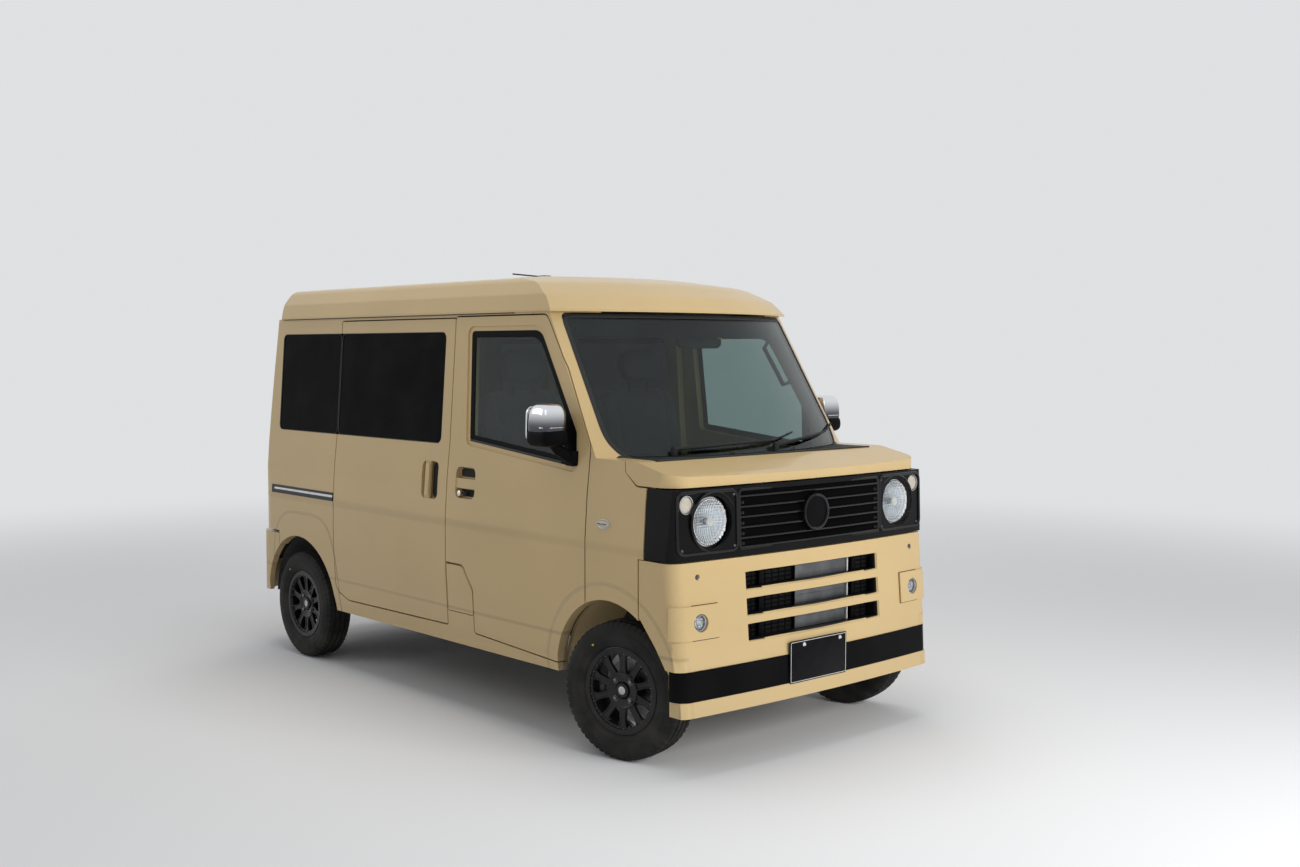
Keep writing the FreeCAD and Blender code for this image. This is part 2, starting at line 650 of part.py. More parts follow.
def roof_cap(inset):
    """The roof's outer form, pulled in by inset; the inner one also reaches down through its open side."""
    skirt = ROOF_SKIRT if inset > 0 else 0.0
    foot = BODY_TOP - skirt
    half = [(y - inset, z - (inset if z > BODY_TOP else skirt), r) for y, z, r in ROOF_SECTION]
    section = cross_prism(both_sides(half), BEHIND_X, BEYOND_X)
    rows = [
        (ROOF_EDGE_X - back - inset, z - (inset if z > BODY_TOP else skirt), r)
        for back, z, r in ROOF_FRONT
    ]
    rows = rows + [(ROOF_AXIS_X, HEIGHT - inset, 0.0), (ROOF_AXIS_X, foot, 0.0)]
    wire = rounded_wire(rows, lambda p: V(p.x, 0, p.y))
    front = Part.Face(wire).revolve(V(ROOF_AXIS_X, 0, 0), V(0, 0, 1), 360.0)
    front = front.common(box(ROOF_AXIS_X, BEYOND_X, -BEYOND_Y, BEYOND_Y, foot, BEYOND_Z))
    rear = bowed_block(ROOF_REAR_X + inset, ROOF_HALF + 6.0 - inset, ROOF_REAR_BOW - inset,
                       ROOF_REAR_CORNER - inset, foot, HEIGHT + 16.0, ROOF_REAR_LEAN)
    middle = box(TAIL_X / 6.0, ROOF_AXIS_X + ROOF_BOW / 3.0, -BEYOND_Y, BEYOND_Y, foot, HEIGHT - inset)
    back = rear.fuse(middle).common(box(BEHIND_X, ROOF_AXIS_X, -BEYOND_Y, BEYOND_Y, foot, BEYOND_Z))
    return section.common(front.fuse(back))


def arch_void(x, z, radius):
    """The wheel arch opening, a round hole open to the ground, on the right-hand side."""
    wheel = Part.makeCylinder(radius, BEYOND_Y - WALL_Y, V(x, -BEYOND_Y, z), V(0, 1, 0))
    below = box(x - radius, x + radius, -BEYOND_Y, -WALL_Y, 0.0, z)
    return wheel.fuse(below)


def offset_outline(rows, amount):
    """A door's outline prism, pulled in by an amount all round."""
    wire = rounded_wire(rows, lambda p: V(p.x, -BEYOND_Y, p.y))
    face = Part.Face(wire)
    if amount != 0:
        face = face.makeOffset2D(-amount, join=0)
    return face.extrude(V(0, BEYOND_Y, 0))


def frame_rows(x0, x1, z0, z1, corner):
    """A rectangle's rows with rounded corners."""
    return ((x0, z1, corner), (x0, z0, corner), (x1, z0, corner), (x1, z1, corner))


NODES = {}


def keep(name, shape):
    """Store one named piece."""
    NODES[name] = shape


def build_shell():
    """The body's outer solid, and its wall without the inside."""
    outer = body_envelope(0.0, BODY_TOP)
    inner = body_envelope(DOOR_WALL, BEYOND_Z)
    cabin = box(REAR_AXLE_X - 231.0, FRONT_AXLE_X - 281.0, -WALL_Y, WALL_Y, UNDER_Z, BEYOND_Z)
    below = section_prism(DOOR_WALL, BEHIND_X, BEYOND_X).common(rear_cutter(DOOR_WALL))
    below = below.common(box(BEHIND_X, BEYOND_X, -BEYOND_Y, BEYOND_Y, UNDER_Z, HOOD_LOW_Z))
    return outer, outer.cut(inner.fuse(cabin).fuse(below))


def front_door_rows(with_lid):
    """The front door's outline, stepped at its lower rear corner where the fuel lid is."""
    rear = DOOR_REAR_STEPPED if with_lid else DOOR_REAR_FULL
    return rear + DOOR_REST


def rear_glass_rows(quarter, flange):
    """A rear side pane's outline, or with a flange the opening behind it."""
    lap = REAR_PANE_LAP if flange > 0.0 else 0.0
    if quarter:
        x0, x1 = REAR_GLASS_REAR + flange, SLIDING_REAR_X - lap
        rear, front = WINDOW_CORNER, 0.0
    else:
        x0, x1 = SLIDING_REAR_X + PANEL_GAP + lap, REAR_GLASS_FRONT - flange
        rear, front = 0.0, WINDOW_CORNER
    low, high = WAIST_Z + flange, REAR_GLASS_TOP - flange
    return ((x0, high, rear), (x0, low, rear), (x1, low, front), (x1, high, front))


def side_wall(shell):
    """The shell's right-hand wall."""
    return shell.common(box(BEHIND_X, GRILLE_SEAM_X, -BEYOND_Y, -WALL_Y, UNDER_Z, BODY_TOP))


def rear_window_cut(wall, quarter):
    """A wall with the pocket that a rear side pane is glued into, and the opening behind it."""
    pocket = wall_pocket(rear_glass_rows(quarter, 0.0), -1.0, REAR_GLASS_DEPTH + GLASS + SEAT_GAP)
    wall = wall.cut(pocket)
    return wall.cut(side_prism(rear_glass_rows(quarter, REAR_GLASS_FLANGE), -BEYOND_Y, -WALL_Y + 80.0))


def build_sides(outer, shell, with_lid):
    """The fixed side of the body, with its pillars, sill and rails."""
    side = side_wall(shell)
    side = side.cut(offset_outline(front_door_rows(with_lid), -PANEL_GAP))
    side = side.cut(offset_outline(SLIDING_DOOR, 0.0))
    if with_lid:
        pocket = wall_band(-1.0, LID_WALL + MOVE_GAP, DOOR_REAR_X - 40.0, DOOR_REAR_X + 260.0,
                           BODY_BOTTOM, BODY_TOP)
        side = side.cut(offset_outline(FUEL_LID, -PANEL_GAP / 2.0).common(pocket))
    side = side.cut(gate_prism(0.0))
    side = side.cut(cross_prism(both_sides(SCREEN_OUTLINE), SCREEN_TOP_X - 330.0, BEYOND_X))
    side = side.cut(arch_void(FRONT_ARCH_X, FRONT_ARCH_Z, FRONT_ARCH_RADIUS))
    side = side.cut(arch_void(REAR_ARCH_X, REAR_ARCH_Z, REAR_ARCH_RADIUS))
    side = side.cut(box(BUMPER_SEAM_X, BEYOND_X, -BEYOND_Y, 0, UNDER_Z, BUMPER_TOP + PANEL_GAP / 2))
    side = side.cut(hood_space(PANEL_GAP))
    side = side.cut(box(COWL_BACK_X - 46.0, FRONT_AXLE_X + 219.0, -COWL_HALF, COWL_HALF,
                        HOOD_LOW_Z, BEYOND_Z))
    side = side.cut(wall_band(-5.0, RAIL_DEPTH + SEAT_GAP, RAIL_X[0] - SEAT_GAP, RAIL_X[1] + 20.0,
                              RAIL_Z[0] - SEAT_GAP, RAIL_Z[1] + SEAT_GAP))
    side = side.cut(box(BEHIND_X, REAR_ARCH_X - 200.0, -BEYOND_Y, 0, UNDER_Z, GATE_BOTTOM - 2.0 * PANEL_GAP))
    side = rear_window_cut(side, True)
    door_back = DOOR_WALL + SEAT_GAP
    pad_reach = FRAME_START + 1.0
    foot_x = (SLIDING_REAR_X + 22.0, FRONT_AXLE_X - 401.0)
    ring = [
        wall_band(FRAME_START, FRAME_INNER, REAR_AXLE_X - 211.0, FRONT_AXLE_X - 401.0, BODY_TOP - 56.0,
                  BODY_TOP).common(screen_cylinder(14.0)),
        wall_band(FRAME_START, FRAME_INNER, PILLAR_X[0], PILLAR_X[1], BODY_BOTTOM, BODY_TOP),
        wall_band(door_back, pad_reach, PILLAR_X[1] - PAD_SPAN, PILLAR_X[1], 700.0, 1100.0),
        wall_band(door_back, pad_reach, PILLAR_X[0], PILLAR_X[0] + PAD_SPAN, 700.0, 1100.0),
        wall_band(DOOR_WALL - 4.0, FRAME_INNER, REAR_PILLAR_X[0], REAR_PILLAR_X[1], GATE_BOTTOM, BODY_TOP),
        wall_band(FRAME_START, FRAME_INNER, foot_x[0], foot_x[1], BODY_BOTTOM, 400.0),
        wall_band(10.0, FRAME_START + 2.0, foot_x[0], foot_x[1], BODY_BOTTOM, 316.0),
        wall_band(DOOR_WALL - 4.0, FRAME_INNER, DOOR_FRONT_X + 12.0, DOOR_FRONT_X + 72.0, 620.0, 1120.0),
    ]
    for piece in ring:
        side = side.fuse(piece)
    if with_lid:
        rest = wall_band(LID_WALL + SEAT_GAP, LID_WALL + MOVE_GAP + 1.0,
                         DOOR_REAR_X + 146.0, DOOR_REAR_X + 172.0, 460.0, 500.0)
        side = side.fuse(rest)
    return side.common(outer).removeSplitter()


def gate_prism(shrink):
    """The tailgate's outline seen from behind, pushed through the rear wall."""
    grow = PANEL_GAP - shrink
    rows = [(half + grow, z + (grow if z > REAR_BREAK_Z + 100.0 else -grow * (z < REAR_BREAK_Z)), r)
            for half, z, r in GATE_OUTLINE]
    return cross_prism(both_sides(rows), BEHIND_X - 100.0, REAR_AXLE_X - 211.0)


def hood_space(gap):
    """What the hood takes up below and behind it, with a gap."""
    back = HOOD_HINGE_X - 3.0 - 5.0 * (gap > 0)
    rows = (
        (back, HOOD_TOP_Z + 53.0, 0.0),
        (back + 14.0, HOOD_SEAM_Z, 30.0),
        (FRONT_AXLE_X + 134.0 - gap / 2.0, HOOD_BOTTOM - gap, 40.0),
        (BEYOND_X, HOOD_BOTTOM - gap, 0.0),
        (BEYOND_X, HOOD_TOP_Z + 53.0, 0.0),
    )
    return side_prism(rows, -BEYOND_Y, BEYOND_Y)


def hood_form(inset):
    """The hood's outer form, pulled in by inset."""
    plan = bowed_block(HOOD_FRONT - inset, HOOD_HALF, FRONT_BOW, HOOD_CORNER - inset,
                       HOOD_LOW_Z - 100.0, BEYOND_Z)
    lowered = [(x, z - inset, r) for x, z, r in HOOD_PROFILE]
    form = section_prism(inset, FRONT_AXLE_X - 381.0, BEYOND_X).common(plan)
    return form.common(side_prism(lowered, -BEYOND_Y, BEYOND_Y))


def build_hood():
    hood = hood_form(0.0).cut(hood_form(HOOD_WALL)).common(hood_space(0.0))
    half = COWL_HALF + PANEL_GAP / 2.0
    return hood.cut(box(COWL_BACK_X - 26.0, COWL_FRONT_X + PANEL_GAP, -half, half,
                        HOOD_LOW_Z, BEYOND_Z))


def build_bumper():
    """The front bumper with its slots and fog-lamp pads, and the dark strip set into it."""
    lean = BUMPER_LEAN * (BUMPER_TOP - BUMPER_BOTTOM)
    outer = bowed_block(NOSE_X, BUMPER_HALF, FRONT_BOW, BUMPER_CORNER, BUMPER_BOTTOM, BUMPER_TOP, lean)
    inner = bowed_block(NOSE_X - BUMPER_WALL, BUMPER_HALF - BUMPER_WALL, FRONT_BOW,
                        BUMPER_CORNER - BUMPER_WALL, BUMPER_BOTTOM - 1.0, BUMPER_TOP + 1.0, lean)
    back = FRONT_AXLE_X - 281.0
    low = box(back, BEYOND_X, -HALF + 21.5, HALF - 21.5, 200.0, 290.0)
    skin = outer.cut(inner).common(section_prism(1.0, back, BEYOND_X).fuse(low))
    skin = skin.common(side_prism(BUMPER_REAR_EDGE, -BEYOND_Y, BEYOND_Y))
    for bottom, top in SLOTS:
        skin = skin.cut(box(NOSE_X - 197.5, BEYOND_X, -SLOT_HALF, SLOT_HALF, bottom, top))
    pads = bowed_block(NOSE_X + PAD_RISE, BUMPER_HALF + PAD_RISE, FRONT_BOW, BUMPER_CORNER + PAD_RISE,
                       BUMPER_BOTTOM, BUMPER_TOP, lean).cut(inner)
    inset, fog_z, fog_radius = FOG_LAMP
    for side in (-1.0, 1.0):
        skin = skin.fuse(pads.common(side_box(side, PAD_BACK_X, BEYOND_X, PAD_INNER_Y, BEYOND_Y, *PAD_Z)))
        skin = skin.cut(along_x(NOSE_X - 197.5, side * (HALF - inset), fog_z, fog_radius + SEAT_GAP, 300.0))
        skin = skin.fuse(side_box(side, RAIL_FRONT_X + SEAT_GAP, NOSE_X - 42.5, *BRACKET_Y, 405.0, 460.0))
    low, high = STRIP_Z
    floor_x = NOSE_X - STRIP_DEPTH
    corner = BUMPER_CORNER - STRIP_DEPTH
    groove = bowed_block(NOSE_X + 20.0, HALF + 22.5, FRONT_BOW, BUMPER_CORNER, low, high)
    skin = skin.cut(groove.cut(bowed_block(floor_x, STRIP_HALF, FRONT_BOW, corner, low, high)))
    strip = bowed_block(floor_x + STRIP_WALL, STRIP_HALF + STRIP_WALL, FRONT_BOW, corner + STRIP_WALL,
                        low + SEAT_GAP, high - SEAT_GAP, -5.0)
    strip = strip.cut(bowed_block(floor_x + SEAT_GAP, STRIP_HALF + SEAT_GAP, FRONT_BOW, corner, low, high))
    strip = strip.common(box(STRIP_BACK_X, BEYOND_X, -BEYOND_Y, BEYOND_Y, low, high))
    radius, length = PLATE_PAD
    for y in (-PLATE_PITCH / 2.0, PLATE_PITCH / 2.0):
        skin = skin.fuse(along_x(PLATE_SEAT_X - length, y, PLATE_BOLT_Z, radius, length))
        skin = skin.cut(along_x(PLATE_SEAT_X - 80.0, y, PLATE_BOLT_Z, PLATE_HOLE, 100.0))
    return skin, strip


def build_louvres(panel_form):
    """Slanted louvre blades on a back plate, within the panel's outer form, on the right-hand half."""
    lip = GRILLE_FRONT - 1.0
    deep = lip - LOUVRE_DEPTH
    plate = deep - 8.0
    edges = LOUVRE_EDGES + (LOUVRE_TOP,)
    rows = [(plate, edges[0], 0.0)]
    for low, high in zip(edges, edges[1:]):
        rows.append((lip, low, 0.0))
        rows.append((lip, low + 5.0, 2.0))
        rows.append((deep, high, 0.0))
    rows.append((plate, edges[-1], 0.0))
    blades = side_prism(rows, -LOUVRE_HALF - 1.0, 0.0)
    return blades.common(panel_form)


def build_grille():
    """The dark panel round the nose, with cups for the lamps and louvres between them."""
    outer = bowed_block(GRILLE_FRONT, GRILLE_HALF, FRONT_BOW, GRILLE_CORNER,
                        GRILLE_BOTTOM, GRILLE_TOP, GRILLE_LEAN)
    inner = bowed_block(GRILLE_FRONT - GRILLE_WALL, GRILLE_HALF - GRILLE_WALL, FRONT_BOW, 16.0,
                        GRILLE_BOTTOM - 1.0, GRILLE_TOP + 1.0, GRILLE_LEAN)
    skin = outer.cut(inner).common(section_prism(3.0, FRONT_AXLE_X - 281.0, BEYOND_X))
    panel = skin.common(box(GRILLE_SEAM_X + 3.0, BEYOND_X, -BEYOND_Y, 0.0, GRILLE_BOTTOM - 50.0, HOOD_BOTTOM))
    lamps = ((HEAD_LAMP, LAMP_FLOOR_X), (SMALL_LAMP, SMALL_FLOOR_X))
    for (inset, z, _, hole), floor_x in lamps:
        panel = panel.fuse(along_x(floor_x - 4.0, inset - HALF, z, hole + 3.0, LAMP_CUP))
    for (inset, z, _, hole), floor_x in lamps:
        panel = panel.cut(along_x(floor_x, inset - HALF, z, hole, 400.0))
    tab = wall_band(20.0, 60.0, GRILLE_SEAM_X + 6.0, GRILLE_SEAM_X + 22.0,
                    GRILLE_BOTTOM + 57.0, GRILLE_TOP - 55.0)
    tab = tab.fuse(wall_band(DOOR_WALL + SEAT_GAP, 60.0, GRILLE_SEAM_X - 38.0, GRILLE_SEAM_X + 8.0,
                             GRILLE_BOTTOM + 57.0, GRILLE_TOP - 55.0))
    panel = panel.fuse(tab)
    panel = panel.cut(box(GRILLE_FRONT - 50.0, BEYOND_X, -LOUVRE_HALF, 1.0, LOUVRE_EDGES[0], LOUVRE_TOP))
    panel = panel.fuse(build_louvres(outer.common(box(0.0, BEYOND_X, -BEYOND_Y, 0.0, 0.0, BEYOND_Z))))
    stop_y = HALF - 457.5
    panel = panel.fuse(box(HOOD_FRONT - 18.0, HOOD_FRONT - 4.0, -stop_y - 40.0, -stop_y, GRILLE_TOP - 4.0,
                           HOOD_BOTTOM - SEAT_GAP))
    panel = panel.fuse(mirrored(panel))
    disc = along_x(GRILLE_FRONT - 18.0, 0, DISC_Z, DISC_RADIUS, DISC_WALL_FRONT)
    return panel.fuse(disc).removeSplitter()


def build_lamps():
    """Round head lamps, small lamps beside them, and fog lamps, each seated on its floor or in its hole."""
    lamps = (
        (HEAD_LAMP, LAMP_FLOOR_X + SEAT_GAP, 34.0),
        (SMALL_LAMP, SMALL_FLOOR_X + SEAT_GAP, 30.0),
        (FOG_LAMP, FOG_BACK_X, 30.0),
    )
    shapes = []
    for side in (-1.0, 1.0):
        for lamp, start, deep in lamps:
            shapes.append(along_x(start, side * (HALF - lamp[0]), lamp[1], lamp[2], deep))
    return Part.makeCompound(shapes)


def build_gate(outer):
    """The tailgate and its glass."""
    inner = section_prism(0.0, BEHIND_X, BEYOND_X).common(rear_cutter(GATE_WALL))
    wall = outer.common(box(BEHIND_X, REAR_AXLE_X - 131.0, -BEYOND_Y, BEYOND_Y, UNDER_Z, BODY_TOP)).cut(inner)
    gate = wall.common(gate_prism(PANEL_GAP))
    window = cross_prism(both_sides(GATE_WINDOW), BEHIND_X, REAR_AXLE_X - 131.0)
    low_z = GATE_WINDOW[1][1]
    pane_rows = [
        (half - SEAT_GAP, z + (SEAT_GAP if z == low_z else -SEAT_GAP), r)
        for half, z, r in GATE_WINDOW
    ]
    pane_space = cross_prism(both_sides(pane_rows), BEHIND_X, REAR_AXLE_X - 131.0)
    glass = rear_cutter(GATE_GLASS_DEPTH).cut(rear_cutter(GATE_GLASS_DEPTH + GLASS))
    half, bottom, top, corner = GATE_HANDLE
    recess = cross_prism(both_sides(((half, top, corner), (half, bottom, corner))), BEHIND_X,
                         REAR_FRONT + GATE_HANDLE_DEPTH)
    return gate.cut(window).cut(recess), glass.common(pane_space).common(outer)


def with_handle(door, recess, pull):
    """A door with a handle recess in its skin and a pull standing in it."""
    door = door.cut(wall_pocket(frame_rows(*recess), -1.0, HANDLE_DEPTH))
    return door.fuse(wall_pocket(frame_rows(*pull), *PULL_DEPTH))


def build_doors(shell, with_lid):
    """The right-hand front door, sliding door and fuel lid."""
    band = wall_band(-1.0, DOOR_WALL, BEHIND_X, FRONT_AXLE_X + 19.0, BODY_BOTTOM, BODY_TOP)
    wall = side_wall(shell).common(band)
    door = wall.common(offset_outline(front_door_rows(with_lid), 0.0))
    surround = offset_outline(FRONT_WINDOW, -SURROUND_WIDTH).common(
        wall_band(-1.0, SURROUND_DEPTH, DOOR_REAR_X, DOOR_FRONT_X, BODY_BOTTOM, BODY_TOP))
    door = door.cut(surround).cut(side_prism(FRONT_WINDOW, -BEYOND_Y, -WALL_Y + 80.0))
    door = door.cut(arch_void(FRONT_ARCH_X, FRONT_ARCH_Z, FRONT_ARCH_RADIUS))
    door = with_handle(door, FRONT_HANDLE, FRONT_PULL)
    sliding = wall.common(offset_outline(SLIDING_DOOR, PANEL_GAP))
    sliding = rear_window_cut(sliding, False)
    sliding = sliding.cut(arch_void(REAR_ARCH_X, REAR_ARCH_Z, REAR_ARCH_RADIUS))
    sliding = with_handle(sliding, SLIDING_HANDLE, SLIDING_PULL)
    lid_band = wall_band(0.0, LID_WALL, DOOR_REAR_X - 40.0, DOOR_REAR_X + 260.0, 300.0, 700.0)
    return door.removeSplitter(), sliding.removeSplitter(), offset_outline(FUEL_LID, 0.0).common(lid_band)


def build_glass():
    """The front door's pane, and the four rear side panes."""
    band = wall_band(FRONT_GLASS_DEPTH, FRONT_GLASS_DEPTH + GLASS, DOOR_REAR_X, DOOR_FRONT_X,
                     BODY_BOTTOM, BODY_TOP)
    front = band.common(offset_outline(FRONT_WINDOW, SEAT_GAP))
    panes = []
    for quarter in (True, False):
        layer = wall_band(REAR_GLASS_DEPTH, REAR_GLASS_DEPTH + GLASS, REAR_GLASS_REAR - 1.0,
                          REAR_GLASS_FRONT + 1.0, BODY_BOTTOM, BODY_TOP)
        pane = offset_outline(rear_glass_rows(quarter, 0.0), SEAT_GAP).common(layer)
        panes.append(pane)
        panes.append(mirrored(pane))
    return front, Part.makeCompound(panes)


def build_screen():
    wire = rounded_wire(both_sides(SCREEN_OUTLINE), lambda p: V(SCREEN_TOP_X - 330.0, p.x, p.y))
    space = Part.Face(wire).makeOffset2D(-SEAT_GAP).extrude(V(BEYOND_X - SCREEN_TOP_X + 300.0, 0, 0))
    sheet = screen_cylinder(0.5).cut(screen_cylinder(0.5 + GLASS)).common(space)
    below_roof = box(SCREEN_TOP_X - 330.0, BEYOND_X, -BEYOND_Y, BEYOND_Y, HOOD_LOW_Z, BODY_TOP - SEAT_GAP)
    return sheet.common(below_roof)


def build_wheel():
    """One tyre and one wheel at the origin, axis along Y, outer side at -Y."""
    half = TYRE_WIDTH / 2.0
    edge = RIM_WIDTH / 2.0
    side_rows = (
        (TYRE_BEAD + SEAT_GAP, edge - 8.0, 0.0),
        (RIM_LIP + 6.0, edge - 4.0, 0.0),
        (BULGE_RADIUS, half, 0.0),
        (TYRE_RADIUS - TYRE_SHOULDER, half - TYRE_SHOULDER, 0.0),
        (TYRE_RADIUS, TREAD_HALF, 0.0),
    )
    rows = [(r, -y, corner) for r, y, corner in side_rows] + list(reversed(side_rows))
    wire = rounded_wire(rows, lambda p: V(p.x, p.y, 0))
    tyre = Part.Face(wire).revolve(V(0, 0, 0), V(0, 1, 0), 360.0)
    lip_rows = (
        (TYRE_BEAD - RIM_WALL, edge, 0.0),
        (RIM_LIP, edge, 2.0),
        (RIM_LIP, edge - RIM_FLANGE, 2.0),
        (TYRE_BEAD, edge - RIM_FLANGE - 1.5, 0.0),
    )
    rim_rows = [(r, -y, corner) for r, y, corner in lip_rows] + list(reversed(lip_rows))
    wire = rounded_wire(rim_rows, lambda p: V(p.x, p.y, 0))
    rim = Part.Face(wire).revolve(V(0, 0, 0), V(0, 1, 0), 360.0)
    disc = Part.makeCylinder(TYRE_BEAD - RIM_WALL + 1.0, DISC_WALL, V(0, -DISC_FACE, 0), V(0, 1, 0))
    (low, low_half, low_corner), (high, high_half, high_corner) = SPOKE_WINDOW
    window = ((low, -low_half, low_corner), (high, -high_half, high_corner),
              (high, high_half, high_corner), (low, low_half, low_corner))
    for index in range(SPOKES):
        wire = rounded_wire(window, lambda p: V(p.x, -DISC_FACE - 1.0, p.y))
        hole = Part.Face(wire).extrude(V(0, DISC_WALL + 2.0, 0))
        hole.rotate(V(0, 0, 0), V(0, 1, 0), 360.0 / SPOKES * index)
        disc = disc.cut(hole)
    hub_face = DISC_FACE + HUB_RISE
    hub = Part.makeCylinder(HUB_RADIUS, hub_face - HUB_INNER, V(0, -hub_face, 0), V(0, 1, 0))
    return tyre, rim.fuse(disc).fuse(hub).removeSplitter()


def placed(shape, x, y, flip):
    """A wheel's piece moved to its axle, turned round on the left side."""
    copy = shape.copy()
    if flip:
        copy.rotate(V(0, 0, 0), V(0, 0, 1), 180.0)
    copy.translate(V(x, y, TYRE_RADIUS))
    return copy


def steered(shape, side):
    """A piece turned about its kingpin to the parked steering angle."""
    copy = shape.copy()
    copy.rotate(V(FRONT_AXLE_X, side * KINGPIN_Y, 0), V(0, 0, 1), REST_STEER)
    return copy


def build_knuckle(side):
    """Hub carrier with its stub and brake disc, drawn straight ahead and turned to the parked angle."""
    x = FRONT_AXLE_X
    height = KNUCKLE_TOP - KNUCKLE_BOTTOM
    carrier = side_box(side, x - 24.0, x + 24.0, KINGPIN_Y - 26.0, KINGPIN_Y - 2.0,
                       KNUCKLE_BOTTOM, KNUCKLE_TOP)
    pivot = Part.makeCylinder(BALL_RADIUS, height, V(x, side * KINGPIN_Y, KNUCKLE_BOTTOM))
    reach = FRONT_TRACK / 2.0 + HUB_INNER - SEAT_GAP - KINGPIN_Y
    stub = Part.makeCylinder(STUB_RADIUS, reach + 10.0, V(x, side * (KINGPIN_Y - 10.0), TYRE_RADIUS),
                             V(0, side, 0))
    radius, thick, out = BRAKE_DISC
    disc = Part.makeCylinder(radius, thick, V(x, side * (KINGPIN_Y + out), TYRE_RADIUS), V(0, side, 0))
    return steered(carrier.fuse(pivot).fuse(stub).fuse(disc), side)


def build_floor():
    """One folded floor from the tailgate to the foot panel, with a sill under the tailgate."""
    lower = [
        (x + shift, z - (FLOOR_WALL if z < HOOD_LOW_Z else 0.0))
        for (x, z), shift in zip(FLOOR_LINE, FLOOR_SHIFT)
    ]
    rows = [(x, z, 0.0) for x, z in FLOOR_LINE] + [(x, z, 0.0) for x, z in reversed(lower)]
    floor = side_prism(rows, -FLOOR_HALF, FLOOR_HALF).common(rear_cutter(DOOR_WALL + SEAT_GAP))
    floor = floor.fuse(box(SILL_REAR_X, SILL_REAR_X + 75.0, -SILL_HALF, SILL_HALF,
                           FLOOR_Z - FLOOR_WALL, FLOOR_Z))
    for side in (-1.0, 1.0):
        floor = floor.fuse(side_box(side, SILL_REAR_X, SILL_REAR_X + 30.0, GATE_PAD_Y[0], GATE_PAD_Y[1],
                                    FLOOR_Z - 5.0, GATE_BOTTOM - SEAT_GAP))
    return floor.removeSplitter()


def build_frame():
    """Two rails, their crossmembers, the tow eye and the engine's mounting arms under the floor."""
    frame = side_prism(RAIL_OUTLINE, -RAIL_OUTER_Y, -RAIL_INNER_Y)
    frame = frame.fuse(side_prism(RAIL_OUTLINE, RAIL_INNER_Y, RAIL_OUTER_Y))
    half = RAIL_INNER_Y + 10.0
    for x, z in CROSSMEMBERS:
        frame = frame.fuse(box(x, x + CROSS_WIDTH, -half, half, z, z + CROSS_HEIGHT))
    eye_y = -(RAIL_INNER_Y + RAIL_OUTER_Y) / 2.0
    around = TOW_EYE_RADIUS + 12.0
    frame = frame.fuse(box(TOW_EYE_X - around, TOW_EYE_X + around - 2.0, eye_y - 6.0, eye_y + 6.0,
                           TOW_EYE_Z - around, 402.0))
    frame = frame.cut(Part.makeCylinder(TOW_EYE_RADIUS, 40.0, V(TOW_EYE_X, eye_y - 20.0, TOW_EYE_Z),
                                        V(0, 1, 0)))
    for side in (-1.0, 1.0):
        arm = side_box(side, *MOUNT_X, ENGINE_HALF_WIDTH + SEAT_GAP, RAIL_INNER_Y + 5.0, *MOUNT_Z)
        frame = frame.fuse(arm)
    return frame


def seat_rows(base_x, base_z, length, height, lean, top):
    """A seat's side outline: cushion, then the leaning back."""
    fold = base_x + 110.0
    return (
        (base_x, base_z, 20.0),
        (base_x + length, base_z, 40.0),
        (base_x + length + 10.0, base_z + height, 50.0),
        (fold, base_z + height - 18.0, 40.0),
        (fold - lean, top, 40.0),
        (fold - BACK_THICKNESS - lean, top, 40.0),
    )


def build_seats():
    """Two front seats with head rests on posts, and the folding rear bench."""
    front = []
    for side in (-1.0, 1.0):
        middle = side * SEAT_Y
        rows = seat_rows(SEAT_REAR_X, SEAT_BASE_Z + SEAT_GAP, 480.0, 130.0, 120.0, SEAT_TOP)
        seat = side_prism(rows, middle - SEAT_HALF, middle + SEAT_HALF)
        head = [(SEAT_REAR_X + x, SEAT_TOP + z, r) for x, z, r in HEAD_REST]
        seat = seat.fuse(side_prism(head, middle - HEAD_HALF, middle + HEAD_HALF))
        for way in (-1.0, 1.0):
            y = middle + way * POST_Y
            foot = V(SEAT_REAR_X - 46.0, y, SEAT_TOP - 20.0)
            seat = seat.fuse(bar(foot, V(SEAT_REAR_X - 57.0, y, SEAT_TOP + 50.0), 6.0))
        front.append(seat)
    rows = seat_rows(BENCH_REAR_X, FLOOR_Z + SEAT_GAP, 430.0, 170.0, 90.0, BENCH_TOP)
    return Part.makeCompound(front), side_prism(rows, -BENCH_HALF, BENCH_HALF)


def column_axis():
    return V(COLUMN_WAY).normalize()


def build_dash():
    dash = side_prism(DASH_OUTLINE, -DASH_HALF, DASH_HALF)
    return dash.cut(bar(STEER_HUB, STEER_HUB + column_axis() * 600.0, COLUMN_RADIUS + SEAT_GAP))


def build_steering():
    """The steering wheel with three spokes, and its column."""
    axis = column_axis()
    ring_radius, ring_bar = STEER_RING
    boss_radius, boss_length = STEER_BOSS
    face = 6.0
    wheel = Part.makeTorus(ring_radius, ring_bar, STEER_HUB, axis)
    wheel = wheel.fuse(Part.makeCylinder(boss_radius, boss_length, STEER_HUB - axis * face, axis))
    across = V(0, 1, 0)
    down = axis.cross(across)
    if down.z > 0:
        down = down * -1.0
    for way in (across, across * -1.0, down):
        start = STEER_HUB + way * (boss_radius - 12.0) + axis * 14.0
        wheel = wheel.fuse(bar(start, STEER_HUB + way * (ring_radius - 3.0), STEER_SPOKE))
    start = STEER_HUB + axis * (boss_length - face + SEAT_GAP)
    return wheel, bar(start, STEER_HUB + axis * COLUMN_LENGTH, COLUMN_RADIUS)


